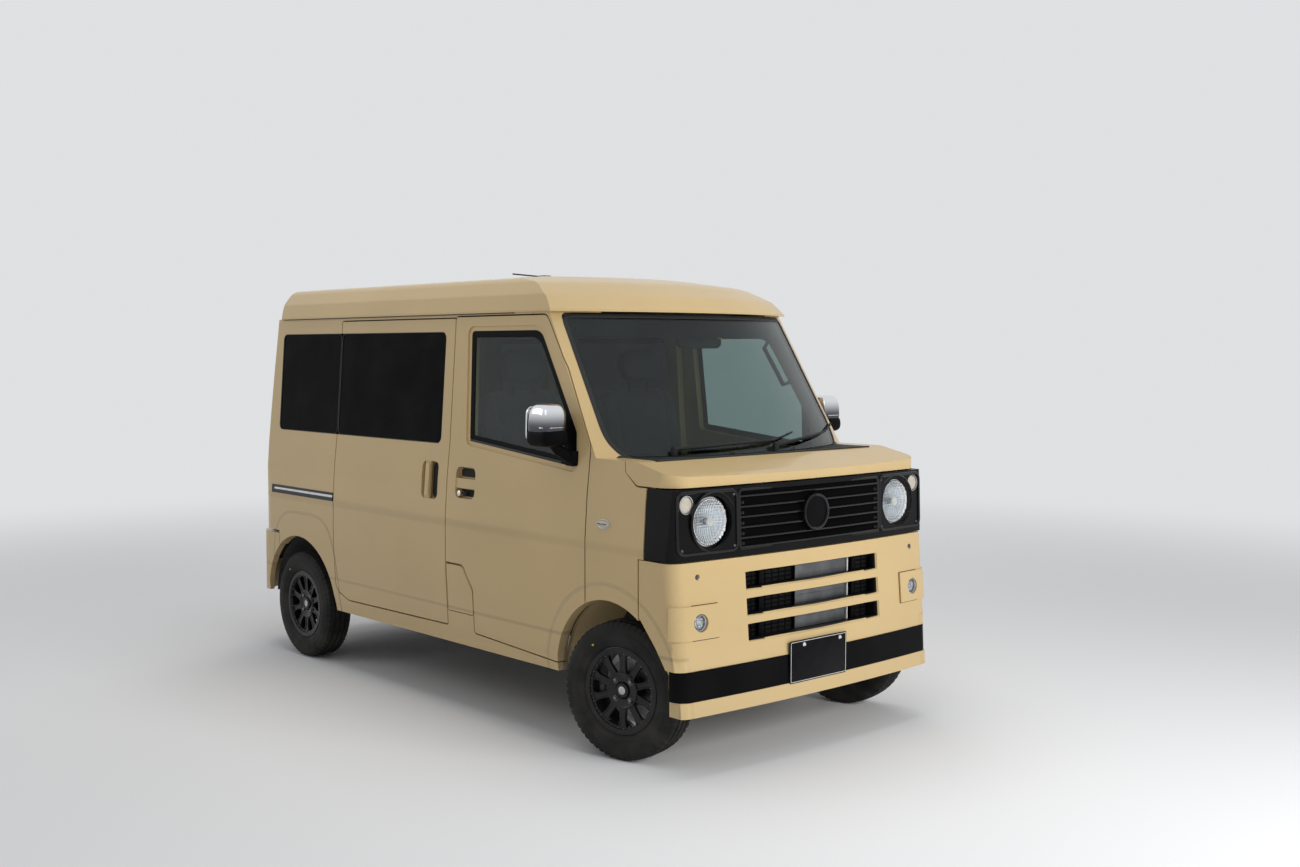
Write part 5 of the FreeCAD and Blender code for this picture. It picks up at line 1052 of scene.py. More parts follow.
    def behind_slots(self, place: Place) -> None:
        """The dark duct with its mesh and brackets, and a grey panel over part of the width."""
        duct, mesh, grey, bolts, edge = surfaces(5)
        duct.box((1.592, -0.41, 0.452), (1.6, 0.41, 0.748), 0.002)
        for side in SIDES:
            duct.box((1.6, side * 0.398 - 0.004, 0.452), (1.64, side * 0.398 + 0.004, 0.748), 0.002)
            mesh.box((1.606, side * 0.27 - 0.011, 0.46), (1.622, side * 0.27 + 0.011, 0.742), 0.003)
            at = spot(place, side * 0.6183, 0.7332, -0.003)
            bolts.revolve(mm(.5, 4.5, 6, 4.5, 7.5, 2, 7.5, -4), at, AHEAD, 18)
            bolts.revolve(mm(7.5, 3.5, 10.5, 4, 11.5, 0, 7.5, 0), at, AHEAD, 20, True)
        for z in np.arange(0.47, 0.74, 0.0165):
            mesh.tube(line((1.604, -0.39, z), (1.604, 0.39, z), 6), 0.0022, 6)
        for y in np.arange(-0.38, 0.381, 0.038):
            mesh.tube([(1.602, y, z) for z in (0.46, 0.6, 0.742)], 0.0018, 6)
        grey.box((1.612, -0.075, 0.472), (1.619, 0.225, 0.738), 0.003)
        for z in (0.52, 0.6, 0.68):
            grey.box((1.618, -0.065, z - 0.004), (1.6205, 0.215, z + 0.004), 0.001)
        edge.box((1.612, 0.232, 0.472), (1.622, 0.238, 0.738), 0.001)
        dress("root", (duct, "nose_duct", SHADOW_AND_PRINT_BLACK, Slot.TRIM), (mesh, "duct_mesh", SATIN, Slot.TRIM),
            (grey, "duct_panel", MAT_PANEL, Slot.TRIM), (bolts, "bumper_bolts", NUT, Slot.TRIM),
            (edge, "duct_strip", PALE, Slot.TRIM))

    def plates(self) -> None:
        """Bare plates with a pale edge and two bolts, in front and behind."""
        outline = rounded(*self.plate, 0.008, 4)
        for name, place, centre, bolt_z, axis in (
                ("front", end_place(1.6945, 1.0), (-0.018, 0.362), 0.426, AHEAD),
                ("rear", end_place(-1.7005, -1.0, 900.0), (0.0, 0.456), 0.52, BEHIND)):
            plate, edge, bolts = surfaces(3)
            plate.plate(outline, place, mm(1, -3, 0, -2, 0, .5, 2, 1.5), centre)
            edge.frame(outline, place, mm(4.5, 1.2, 4.5, 2.4, 6.5, 2.4, 6.5, 1.2), centre)
            for y in (-0.105, 0.105):
                bolts.revolve(mm(.5, 5.8, 5.5, 5.5, 7, 3.5, 8.5, 2, 8.5, -3), spot(place, y, bolt_z, 0.001),
                    axis, 16)
            dress("root", (plate, "plate_" + name, PLATE, Slot.TRIM),
                (edge, "plate_edge_" + name, PALE, Slot.TRIM),
                (bolts, "plate_bolts_" + name, CHROME, Slot.TRIM))


@dataclass
class Screen:
    """The windscreen's black border and seal, the wipers, and what hangs at its top.

    Attributes:
        slope: how far the axis of the glass leans back per metre of height.
        foot: x of the glass in the middle at the waist.
        waist: height of the waist.
        radius: radius of the glass.
        corners: y, z and corner radius of the opening's outline.
        inside: height of the inner print over the outer face.
        blade: height over y of a wiper blade, inside and outside its arm's tip.
    """

    slope: float = 0.645
    foot: float = 1.3803
    waist: float = 1.15
    radius: float = 1.487
    corners: tuple[Triple, ...] = (
        (0.634, 1.7045, 0.035), (0.662, 1.15, 0.11), (0.6, 1.132, 0.05), (0.3, 1.118, 0.05),
        (-0.3, 1.118, 0.05), (-0.6, 1.132, 0.05), (-0.662, 1.15, 0.11), (-0.634, 1.7045, 0.035))
    inside: float = -0.0065
    blade: Pair = (0.085, 0.18)

    def place(self, y: Array, z: Array, lift: Any) -> Array:
        """A place on the outer face of the glass, lifted along its normal.

        x = foot - slope (z - waist) - (r - sqrt(r^2 - y^2)) sqrt(1 + slope^2)
        """
        lean = math.sqrt(1.0 + self.slope ** 2)
        run = np.sqrt(self.radius ** 2 - y ** 2)
        x = self.foot - self.slope * (z - self.waist) - (self.radius - run) * lean
        flat = 0.0 * x
        parts = (run / self.radius / lean, y / self.radius, self.slope / lean)
        normal = np.stack([part + flat for part in parts], -1)
        return np.stack([x, y + flat, z + flat], -1) + normal * np.broadcast_to(lift, x.shape)[..., None]

    def outline(self) -> Array:
        """The opening's outline in y and z, finely divided."""
        coarse = soft(self.corners, 7)
        closed = np.concatenate([coarse, coarse[:1]])
        run = np.concatenate([[0.0], np.cumsum(np.linalg.norm(np.diff(closed, axis=0), axis=1))])
        steps = np.linspace(0.0, run[-1], 221)[:-1]
        return np.stack([np.interp(steps, run, closed[:, k]) for k in (0, 1)], -1)

    def build(self) -> None:
        """Make what belongs to the windscreen."""
        self.border()
        self.wipers()
        self.mirror()
        self.cowl()

    def border(self) -> None:
        """A black printed border inside the glass, the seal round it, and the shade band at the top."""
        seal, border, band = surfaces(3)
        outline = self.outline()
        seal.frame(outline, self.place, mm(-2, -4, -2, 1, 3, 3, 10, 2.5, 14, .8, 10, -4))
        border.frame(outline, self.place, mm(6, -6.5, 34, -6.5, 34, -7.5, 6, -7.5))
        y = np.linspace(-0.6, 0.6, 40)
        rows = [self.place(y, z, self.inside - back)
            for z, back in ((1.672, 0.0), (1.615, 0.0), (1.615, MM), (1.672, MM))]
        band.grid(np.stack(rows, 1))
        dress("root", (seal, "screen_seal", SEAL, Slot.TRIM), (border, "screen_border", SHADOW_AND_PRINT_BLACK, Slot.TRIM),
            (band, "screen_band", SHADOW_AND_PRINT_BLACK, Slot.TRIM))

    def wipers(self) -> None:
        """Two arms with round heads at their pivots, bowed blades on five posts each, rubber lips, and two
        washer nozzles.
        """
        arms, lips, nozzle = surfaces(3)
        share = np.linspace(0.0, 1.0, 15)
        for root, tip, tip_z in ((-0.43, 0.06, 1.186), (0.06, 0.5, 1.2)):
            foot = spot(self.place, root, 1.162, 0.016) + (0.0, 0.0, -0.006)
            arms.revolve(mm(1, 22, 10, 20, 13, 12, 13, -12), foot, UP, 24)
            path = self.place(root + (tip - root) * share, 1.166 + (tip_z - 1.166) * share,
                0.016 + 0.008 * np.sin(share * math.pi))
            arms.tube(path, np.linspace(0.0075, 0.0045, 15), 10, 1.3)
            run = np.linspace(-0.2, 0.16, 25)
            z = tip_z + np.where(run < 0.0, *self.blade) * run
            arms.tube(self.place(tip + run, z, 0.011 - 0.004 * np.abs(run / 0.2) ** 1.5), 0.0042)
            lips.tube(self.place(tip + run, z, 0.0042), 0.0034, 6, 0.6)
            for at in (-0.13, -0.05, 0.0, 0.05, 0.11):
                z = tip_z + self.blade[at >= 0.0] * at
                arms.tube([spot(self.place, tip + at, z, height) for height in (0.004, 0.01, 0.017)], 0.004)
        for y in (-0.16, 0.2):
            nozzle.revolve(mm(1, 12, 7, 11, 11, 5, 13, 0, 13, -4), (1.353, y, 1.1475), (0.1, 0.0, 1.0), 20)
        arms.build("wiper_arms", TRIM, Slot.TRIM, replaces=("wipers",))
        dress("root", (lips, "wiper_lips", SEAL, Slot.TRIM), (nozzle, "washer_nozzles", TRIM, Slot.TRIM))

    def mirror(self) -> None:
        """The mirror and its stalk inside at the top, with a small plain mark on the glass."""
        stalk, shell, mark = surfaces(3)
        at = spot(self.place, 0.0, 1.655, -0.008)
        stalk.tube([at, at + (-0.02, 0, -0.02), at + (-0.045, 0, -0.045)], 0.008, 12)
        stalk.revolve(mm(2, 0, 24, 1, 20, 9, 2, 11), at, (-0.84, 0.0, -0.54), 24)
        place = flat_place(at + (-0.058, 0.0, -0.052), (0.1, 1, 0), (-0.12, 0, 1))
        shell.plate(rounded(0.235, 0.062, 0.026), place, mm(6, -9, 1, -6, 0, 0, 2, 10, 12, 16))
        mark.plate(rounded(0.03, 0.03, 0.004, 3), self.place, mm(0, -7.2, 0, -6.6), (0.045, 1.628))
        dress("root", (stalk, "mirror_stalk", CABIN, Slot.CABIN), (shell, "inside_mirror", CABIN, Slot.CABIN),
            (mark, "screen_mark", YELLOW, Slot.CABIN))

    def cowl(self) -> None:
        """Slots of the air intake in the cowl, and the rubber strip behind the hood."""
        slots, strip = surfaces(2)
        for y in np.arange(-0.52, 0.521, 0.026):
            if abs(y) > 0.24:
                slots.box((1.318, y - 0.009, 1.1465), (1.345, y + 0.009, 1.1488), 0.001)
        strip.tube(line((1.4135, -0.615, 1.1455), (1.4135, 0.615, 1.1455), 20), 0.0042)
        dress("root", (slots, "cowl_slots", SEAL, Slot.TRIM), (strip, "cowl_strip", SEAL, Slot.TRIM))


@dataclass
class Flanks:
    """Window seals, handles, seams, indicators, rails and mirrors.

    Attributes:
        rear_pane: x and z of the rear side glass, rear and front, bottom and top.
        seam: x of the seam behind the sliding door.
        window: x, z and corner radius of the front door's window.
        corner: the same for the black piece in its front corner.
        handle: x of the rear of the front door's handle cup.
        lock_z: height of the lock.
        mirror_y: y of the middle of a mirror.
        indicator: x and z of the indicator.
        rail: x of the middle of the slide rail, and the heights of its two strips.
        slide_z: height of the sliding door's handle.
    """

    rear_pane: tuple[float, float, float, float] = (-1.405, 0.1, 1.15, 1.64)
    seam: float = -0.809
    window: tuple[Triple, ...] = (
        (0.284, 1.642, 0.018), (0.31, 1.172, 0.018), (1.042, 1.104, 0.018), (1.034, 1.24, 0.03),
        (0.772, 1.642, 0.07))
    corner: tuple[Triple, ...] = (
        (1.04, 1.107, 0.01), (1.032, 1.236, 0.015), (0.96, 1.356, 0.012), (0.95, 1.112, 0.01))
    handle: float = 0.172
    lock_z: float = 0.9455
    mirror_y: float = 0.806
    indicator: Pair = (1.237, 0.902)
    rail: Triple = (-1.112, 0.8475, 0.8335)
    slide_z: float = 0.9875

    def build(self) -> None:
        """Make the details of both sides."""
        for name, side in NAMED_SIDES:
            self.door(name, side)
            self.mirror(name, side)
        self.rear_windows()
        self.fixed()
        self.sliding_handles()

    def door(self, name: str, side: float) -> None:
        """A front door's window frame, seals, lock and handle cups."""
        rim, seal, chrome, dark = surfaces(4)
        body, place, x, out = "front_door_" + name, side_place(side), self.handle, (0.0, side, 0.0)
        rim.frame(soft(self.window, 6), place, mm(-1, -12, -1, -8.5, 12, -8, 26, -9.5, 28, -11.8, 6, -11.8))
        rim.plate(soft(self.corner), place, mm(0, -11.8, 0, -9.5, 4, -7.5))
        waist = np.linspace(0.315, 0.95, 20)
        seal.tube(place(waist, np.interp(waist, (0.31, 1.042), (1.176, 1.11)), -0.008), 0.005, flat=0.7)
        seal.tube(place(np.full(8, 1.1245), np.linspace(0.6, 1.17, 8), -0.0065), 0.0055)
        chrome.revolve(mm(1, 16, 6, 15.8, 11.5, 13.5, 13, 9, 13, -6),
            spot(place, x + 0.093, self.lock_z, -0.012), out, 28)
        chrome.box(spot(place, x + 0.088, self.lock_z - 0.001, -0.0005) - (0.0, 0.004, 0.0),
            spot(place, x + 0.098, self.lock_z + 0.001, 0.0005) + (0.0, 0.004, 0.0), 0.0006)
        at = spot(place, x + 0.132, self.lock_z, -0.014)
        dark.revolve(mm(1, 14, 8, 13.5, 9.5, 11, 9.5, -4), at, out, 20)
        for low, high in ((1.016, 1.052), (0.932, 0.962)):
            dark.plate(rounded(0.128, high - low, 0.014, 5), place, mm(0, -25.5, 0, -24, 3, -23.5),
                (x + 0.1355, (low + high) / 2.0))
        dress(body, (rim, "window_frame_" + name, SATIN, Slot.TRIM),
            (seal, "door_seal_" + name, SEAL, Slot.TRIM),
            (chrome, "door_lock_" + name, CHROME, Slot.MIRROR),
            (dark, "handle_cup_" + name, SHADOW_AND_PRINT_BLACK, Slot.TRIM))

    def mirror(self, name: str, side: float) -> None:
        """A door mirror: chrome upper shell, paler on top by a painted sky reflection, black lower half,
        line, pane and arm.
        """
        shell, lower, line_, pane = surfaces(4)
        body, middle = "front_door_" + name, side * self.mirror_y

        def form(points: Array) -> Array:
            """Narrower and further forward towards the top."""
            taper = 1.0 - 0.16 * np.clip((points[:, :, 2] - 1.2) / 0.155, 0.0, 1.0)
            out = points.copy()
            out[..., 0] = 0.985 + (points[..., 0] - 0.985) * taper + 0.03 * (points[..., 2] - 1.27)
            return out

        shell.pillow((0.914, middle - 0.058, 1.205), (1.055, middle + 0.058, 1.354), 0.45, form)
        lower.pillow((0.912, middle - 0.0595, 1.186), (1.059, middle + 0.0595, 1.262), 0.4, form)
        around = np.linspace(-0.225, 0.225, 30) * TURN
        line_.tube(np.stack([0.984 + 0.0692 * np.cos(around) ** 0.5, middle + 0.0585 * np.sin(around),
            np.full(30, 1.2625)], -1), 0.0022)
        place = flat_place((0.9135, middle, 1.272), (0, -1.0, 0), (0.03, 0, 1))
        pane.plate(rounded(0.1, 0.14, 0.03), place, mm(3, -4, 0, 0, 2, 2.5))
        arm = np.array([(1.024, 0.712, 1.14), (1.018, 0.735, 1.15), (1.006, 0.766, 1.172),
            (0.994, 0.79, 1.205)])
        lower.tube(arm * (1, side, 1), (0.027, 0.024, 0.021, 0.022), 16)
        lower.plate(rounded(0.08, 0.06, 0.018, 5), side_place(side), mm(0, -4, 0, 6, 10, 20, 16, 24),
            (1.02, 1.139))
        lower.build("mirror_foot_" + name, SATIN, Slot.TRIM, body)
        shell.build("mirror_shell_" + name, DARK_CHROME, Slot.MIRROR, body, ("mirror_" + name,))
        dress(body, (line_, "mirror_line_" + name, CHROME, Slot.MIRROR),
            (pane, "mirror_pane_" + name, CHROME, Slot.MIRROR))

    def rear_windows(self) -> None:
        """Seals round the dark panes, and the dark print behind them."""
        seals, back = surfaces(2)
        x0, x1, z0, z1 = self.rear_pane
        for low, high in ((x0, self.seam - 0.003), (self.seam + 0.003, x1)):
            outline, centre = rounded(high - low, z1 - z0, 0.03), ((low + high) / 2.0, (z0 + z1) / 2.0)
            for place in map(side_place, SIDES):
                back.frame(outline, place, mm(10, -10, 45, -10, 45, -11.2, 10, -11.2), centre)
                seals.frame(outline, place, mm(-.5, -4, -.5, -.5, 2, -.2, 3.5, -3.5), centre)
        dress("root", (seals, "pane_seals", SEAL, Slot.TRIM), (back, "pane_print", SHADOW_AND_PRINT_BLACK, Slot.TRIM))

    def fixed(self) -> None:
        """Indicators, slide rails, and rubber strips in the door gaps."""
        lens, rim, rail, seals = surfaces(4)
        x, high, low = self.rail
        for place in map(side_place, SIDES):
            lens.plate(circle(1.0, 36) * (0.037, 0.015), place, mm(0, -1, 0, 2, 2, 5, 6, 7.5, 11, 8.5),
                self.indicator)
            rim.frame(circle(1.0, 36) * (0.0405, 0.0185), place, mm(0, -1, 0, 2, 1.8, 3, 3.6, 2, 3.6, -1),
                self.indicator)
            rail.plate(rounded(0.6, 0.0125, 0.003, 3), place, mm(1, -1, 0, 0, 0, 2.5, 2, 4.2), (x, high))
            rail.plate(rounded(0.59, 0.006, 0.002, 3), place, mm(1, -2, 0, 0, 0, 1.2, 1, 2.2), (x, low))
            for gap in (0.169, self.seam):
                seals.tube(place(np.full(30, gap), np.linspace(0.37, 1.695, 30), -0.015), 0.005)
            seals.tube(place(np.linspace(-0.8, 0.7, 40), np.full(40, 1.705), -0.014), 0.005)
        dress("root", (lens, "side_indicators", INDICATOR, Slot.LENS),
            (rim, "indicator_rims", BEZEL, Slot.LENS), (rail, "rail_strips", BRIGHT, Slot.RAIL),
            (seals, "gap_seals", SEAL, Slot.TRIM))

    def sliding_handles(self) -> None:
        """The sliding doors' cups and the bodies of their handles."""
        cups, grips = surfaces(2)
        for place in map(side_place, SIDES):
            cups.plate(rounded(0.068, 0.156, 0.022, 5), place, mm(0, -25.5, 0, -24.2, 3, -23.5),
                (0.0585, self.slide_z))
            grips.plate(rounded(0.038, 0.15, 0.012, 5), place, mm(6, -4.2, 3, -.6, 8, 1.5),
                (0.008, self.slide_z))
        dress("root", (cups, "slide_cups", SHADOW_AND_PRINT_BLACK, Slot.TRIM), (grips, "slide_grips", PAINT, Slot.PAINT))


OUTWARD = (0.0, -1.0, 0.0)
CENTRE = (0.0, 0.0, 0.0)


@dataclass
class Wheel:
    """One wheel and tyre, made at the origin with its outer side at -Y, then put in place.

    Attributes:
        lip: radius of the rim's lip.
        half: half the rim's width.
        bead: radius of the rim's barrel.
        spokes: number of spokes.
        pitches: number of tread blocks round.
        hub: distance of the hub's face from the middle.
        wall: radius and half width along a tyre's side, from the bead to the shoulder.
        crown: half widths across the tread, with an edge at each side of a groove.
        spoke: radius, half width and face along a spoke.
    """

    lip: float = 0.168
    half: float = 0.059
    bead: float = 0.153
    spokes: int = 10
    pitches: int = 60
    hub: float = 0.034
    wall: tuple[float, ...] = (
        154.5, 50, 162.5, 54.5, 170.5, 55.5, 173.5, 59, 178, 62.5, 186, 66.2, 192, 68.2, 192.5, 69.4, 201,
        70.8, 201.5, 71.8, 212, 72.5, 223, 72.2, 223.5, 71.2, 236, 70, 246, 67.6, 253.5, 64, 258, 60)
    crown: tuple[float, ...] = (0.056, 0.05, 0.0335, 0.033, 0.0268, 0.0262, 0.014, 0.004, 0.0035)
    spoke: tuple[Triple, ...] = (
        (0.06, 0.0165, -0.044), (0.085, 0.0135, -0.0455), (0.115, 0.013, -0.0465), (0.134, 0.0175, -0.0475),
        (0.144, 0.027, -0.05))

    def build(self) -> None:
        """Make all four."""
        for name, side in NAMED_SIDES:
            self.one("front", name, side, FRONT_AXLE, FRONT_TRACK / 2.0, REST_STEER)
            self.one("rear", name, side, REAR_AXLE, REAR_TRACK / 2.0, 0.0)

    def put(self, surface: Surface, side: float, x: float, y: float, steer: float) -> None:
        """Move a form from the origin to its axle, steered about the kingpin."""
        points = np.concatenate(surface.points) * (-side, -side, 1.0) + (x, side * y, TYRE_RADIUS)
        kingpin = np.array((x, side * KINGPIN_Y, 0.0))
        turn = np.array(Matrix.Rotation(steer, 3, "Z"))
        surface.points = [(points - kingpin) @ turn.T + kingpin]

    def one(self, end: str, name: str, side: float, x: float, y: float, steer: float) -> None:
        """One wheel with its tyre."""
        body = f"{end}_wheel_{name}"
        for surface, label, finish, slot, replaces in (
                (self.tyre(), "tyre", RUBBER, Slot.RUBBER, (f"{end}_tyre_{name}",)),
                (self.rim(), "rim", WHEEL, Slot.WHEEL, (body,)),
                (self.spoke_set(), "spokes", WHEEL, Slot.WHEEL, ()),
                (self.rivets(), "rivets", NUT, Slot.WHEEL, ()),
                (self.nuts(), "nuts", NUT, Slot.WHEEL, ()),
                (self.boss(1, 14, 12, 14, 22.5, 13, 27.5, 11, 29.5, 7, 29.5, 0), "cap_collar", WHEEL,
                    Slot.WHEEL, ()),
                (self.boss(1, 16, 10, 15.8, 14.2, 15.2, 15.8, 14.2, 15.8, 10), "cap", CAP, Slot.WHEEL, ()),
                (self.mark(), "tyre_mark", YELLOW, Slot.RUBBER, ())):
            self.put(surface, side, x, y, steer)
            surface.build(f"{label}_{end}_{name}", finish, slot, body, replaces, 30.0)

    def tyre(self) -> Surface:
        """A tyre with three grooves round and cut blocks: r(angle, y) loses 3.5 to 6.5 mm in a cut."""
        rows = [(r, -y) for r, y in mm(*self.wall)]
        for y in self.crown:
            cut = 0.0262 < y < 0.0335 or y == 0.0035
            rows.append((0.2678 - 0.9 * y * y - (0.0065 if cut else 0.0), -y))
        rows += [(r, -y) for r, y in reversed(rows)]
        count = self.pitches * 4
        index = np.arange(count)[None]
        radius, across = (np.repeat(column[:, None], count, 1) for column in np.array(rows).T)
        shoulder = (np.abs(across) > 0.034) & (radius > 0.253) & (index % 4 == 0)
        middle = (np.abs(across) < 0.0255) & (np.abs(across) > 0.0045) & (radius > 0.262) & (index % 4 == 2)
        radius = radius - 0.0052 * shoulder - 0.0035 * middle
        angle = index * TURN / count
        return Surface().grid(np.stack([radius * np.cos(angle), across, radius * np.sin(angle)], -1), True)

    def rim(self) -> Surface:
        """The rim's barrel with a rolled lip on each side."""
        lip, half, bead = self.lip, self.half, self.bead
        edge = [(bead - 0.006, half - 0.001), (bead - 0.001, half), (lip - 0.002, half), (lip, half - 0.0012),
            (lip, half - 0.003), (lip - 0.003, half - 0.0034), (bead + 0.002, half - 0.004),
            (bead, half - 0.007)]
        profile = [(r, -y) for r, y in edge] + [(bead - 0.008, -0.02), (bead - 0.008, 0.02)] + edge[::-1]
        profile += [(bead - 0.009, half - 0.012), (bead - 0.0145, 0.02), (bead - 0.0145, -0.03),
            (bead - 0.01, -0.046)]
        return Surface().revolve(profile, CENTRE, (0, 1, 0), 96, True)

    def spoke_set(self) -> Surface:
        """Tapered spokes with a hollow between their edges, on a dished hub and a bead ring."""
        out = Surface()
        for turn in (np.arange(self.spokes) + 0.5) * TURN / self.spokes:
            c, s = math.cos(turn), math.sin(turn)
            rows = []
            for r, wide, y in self.spoke:
                half = [(wide, 0.015), (wide, 0.002), (wide - 0.002, 0.0), (wide - 0.0055, 0.0),
                    (wide - 0.008, 0.003)]
                section = [(-w, y + depth) for w, depth in half] + [(w, y + depth) for w, depth in half[::-1]]
                rows.append([(r * c - w * s, depth, r * s + w * c) for w, depth in section])
            out.grid(np.array(rows))
        out.revolve(mm(2, -34, 30, -34, 34, -40.5, 58, -41.5, 66, -46, 70, -45.5, 72, -38, 72, -12, 40, -4, 2,
            -4), CENTRE, (0, 1, 0), 60)
        return out.revolve(mm(139.5, -49.5, 141.5, -52, 145.5, -52.5, 146.8, -50.5, 146.8, -38, 139.5, -38),
            CENTRE, (0, 1, 0), 96, True)

    def rivets(self) -> Surface:
        """Two small rivets at the end of each spoke, and one between."""
        out = Surface()
        for x, z in circle(0.143, self.spokes * 3):
            out.revolve(mm(.4, 2.6, 2.2, 2.2, 3.1, .4, 3.1, -2), (x, -0.0522, z), OUTWARD, 10)
        return out

    def nuts(self) -> Surface:
        """Four wheel nuts with their washers."""
        out = Surface()
        for turn in (np.arange(4) + 0.5) * TURN / 4.0:
            at = (0.05 * math.cos(turn), -0.0405, 0.05 * math.sin(turn))
            out.revolve(mm(.5, 9, 4.5, 8.5, 7.8, 6.5, 9, 5, 9, 0), at, OUTWARD, 6)
            out.revolve(mm(9.2, 1.2, 11.8, 1.2, 11.8, 0, 9.2, 0), at, OUTWARD, 20, True)
        return out

    def boss(self, *profile: float) -> Surface:
        """A domed form in the middle of the hub's face, by its profile in millimetres."""
        return Surface().revolve(mm(*profile), (0.0, -self.hub, 0.0), OUTWARD, 48)

    def mark(self) -> Surface:
        """The small paint dot on the side wall."""
        at = (0.205 * math.cos(2.2), -0.0714, 0.205 * math.sin(2.2))
        return Surface().revolve(mm(.5, .8, 4.5, .8, 5, 0), at, OUTWARD, 20)


@dataclass
class Seat:
    """Where a seat stands, and the forms that front seats and bench share.

    Attributes:
        middle: y of the seat's middle.
        half: half its width.
        rear: x of the rear of the cushion's base.
        base: height of the box it stands on.
        top: height of the back's top.
    """

    middle: float
    half: float = 0.235
    rear: float = 0.262
    base: float = 0.7223
    top: float = 1.39

    def crown(self, points: Array, low: float, high: float) -> Array:
        """Hollow middle with raised sides, and three pressed lines across it."""
        share = np.abs(np.clip((points[..., 1] - self.middle) / self.half, -1.0, 1.0))
        run = (points[..., 0] - low) / (high - low)
        lines = sum(np.exp(-((run - at) / 0.02) ** 2) for at in (0.3, 0.52, 0.74))
        piping = np.exp(-((share - 0.66) / 0.03) ** 2)
        face = np.clip((points[..., 2] - points[..., 2].mean()) * 60.0, 0.0, 1.0)
        rise = 0.014 * share ** 2.5 - 0.01 * lines * (share < 0.63) - 0.009 * piping - 0.014
        out = points.copy()
        out[..., 2] += face * rise
        return out

    def standing(self, points: Array, lean: float, fold: float, foot: float, thin: float = 1.0) -> Array:
        """A back made lying, stood up: along its run it leans rearwards from the fold."""
        run, thick = points[..., 0], points[..., 2]
        x = fold - run * math.sin(lean) + thick * math.cos(lean)
        z = foot + run * math.cos(lean) + thick * math.sin(lean) * thin
        return np.stack([x, points[..., 1], z], -1)


@dataclass
class FrontSeat(Seat):
    """One front seat: crowned cushion and back with bolsters, seams, head rest on posts, rails."""

    def back(self, points: Array, length: float) -> Array:
        """The back, crowned and stood up."""
        lean = math.atan2(0.12, self.top - self.base - 0.112)
        return self.standing(self.crown(points, 0.02, length), lean, self.rear + 0.028, self.base + 0.015)

    def tilted(self, points: Array) -> Array:
        """The head rest, which leans with the back."""
        out = points.copy()
        out[..., 0] += 0.1 * (self.top + 0.1 - points[..., 2])
        return out

    def build(self, name: str) -> None:
        """Make the seat."""
        cushion, back, head, trim, piping = surfaces(5)
        middle, rear, base, top = self.middle, self.rear, self.base, self.top
        y0, y1 = middle - self.half, middle + self.half
        x0, x1 = rear + 0.03, rear + 0.482
        cushion.pillow((x0, y0 + 0.004, base + 0.012), (x1, y1 - 0.004, base + 0.132), 0.28,
            lambda points: self.crown(points, x0, x1))
        length = top - base - 0.02
        back.pillow((0.02, y0 + 0.006, 0.0), (length, y1 - 0.006, 0.078), 0.3,
            lambda points: self.back(points, length))
        head.pillow((rear - 0.094, middle - 0.112, top + 0.022), (rear - 0.008, middle + 0.112, top + 0.175),
            0.45, self.tilted)
        for side in SIDES:
            y = middle + side * 0.058
            trim.tube([(rear - 0.046, y, top - 0.03), (rear - 0.055, y, top + 0.05)], 0.0055, 12)
            y = middle + side * 0.17
            trim.box((rear + 0.03, y - 0.014, base), (rear + 0.45, y + 0.014, base + 0.016))
        at = (rear + 0.075, y0 + 0.012, base + 0.085)
        trim.revolve(mm(1, 12, 30, 10, 34, 0, 34, -20), at, (0, -1, 0), 32)
        path = np.pad(rounded(0.42, 2.0 * self.half - 0.05, 0.06, 8), ((0, 0), (0, 1)))
        path += (rear + 0.26, middle, base + 0.118)
        piping.tube(np.concatenate([path, path[:2]]), 0.0028)
        stands = ("front_seats",) if name == "right" else ()
        cushion.build("seat_cushion_" + name, CLOTH, Slot.SEAT, replaces=stands)
        back.build("seat_back_" + name, CLOTH, Slot.SEAT)
        head.build("head_rest_" + name, VINYL, Slot.SEAT)
        dress("root", (trim, "seat_trim_" + name, TRIM, Slot.CABIN),
            (piping, "seat_piping_" + name, VINYL, Slot.SEAT))


@dataclass
class Bench(Seat):
    """Half of the rear bench: a crowned cushion and back with seams."""

    middle: float = 0.0
    half: float = 0.276
    rear: float = -0.76
    base: float = 0.6353
    top: float = 1.2

    def back(self, points: Array) -> Array:
        """The back, crowned and stood up."""
        lean = math.atan2(0.09, self.top - self.base - 0.152)
        crowned = self.crown(points, 0.0, self.top - self.base - 0.02)
        return self.standing(crowned, lean, self.rear + 0.042, self.base + 0.03, 0.5)

    def fill(self, seat: Surface, back: Surface) -> None:
        """Add this half's cushion and back to the two surfaces."""
        y0, y1 = self.middle - self.half, self.middle + self.half
        x0, x1 = self.rear + 0.06, self.rear + 0.432
        seat.pillow((x0, y0, self.base + 0.01), (x1, y1, self.base + 0.165), 0.25,
            lambda points: self.crown(points, x0, x1))
        back.pillow((0.0, y0, 0.0), (self.top - self.base - 0.05, y1, 0.07), 0.28, self.back)


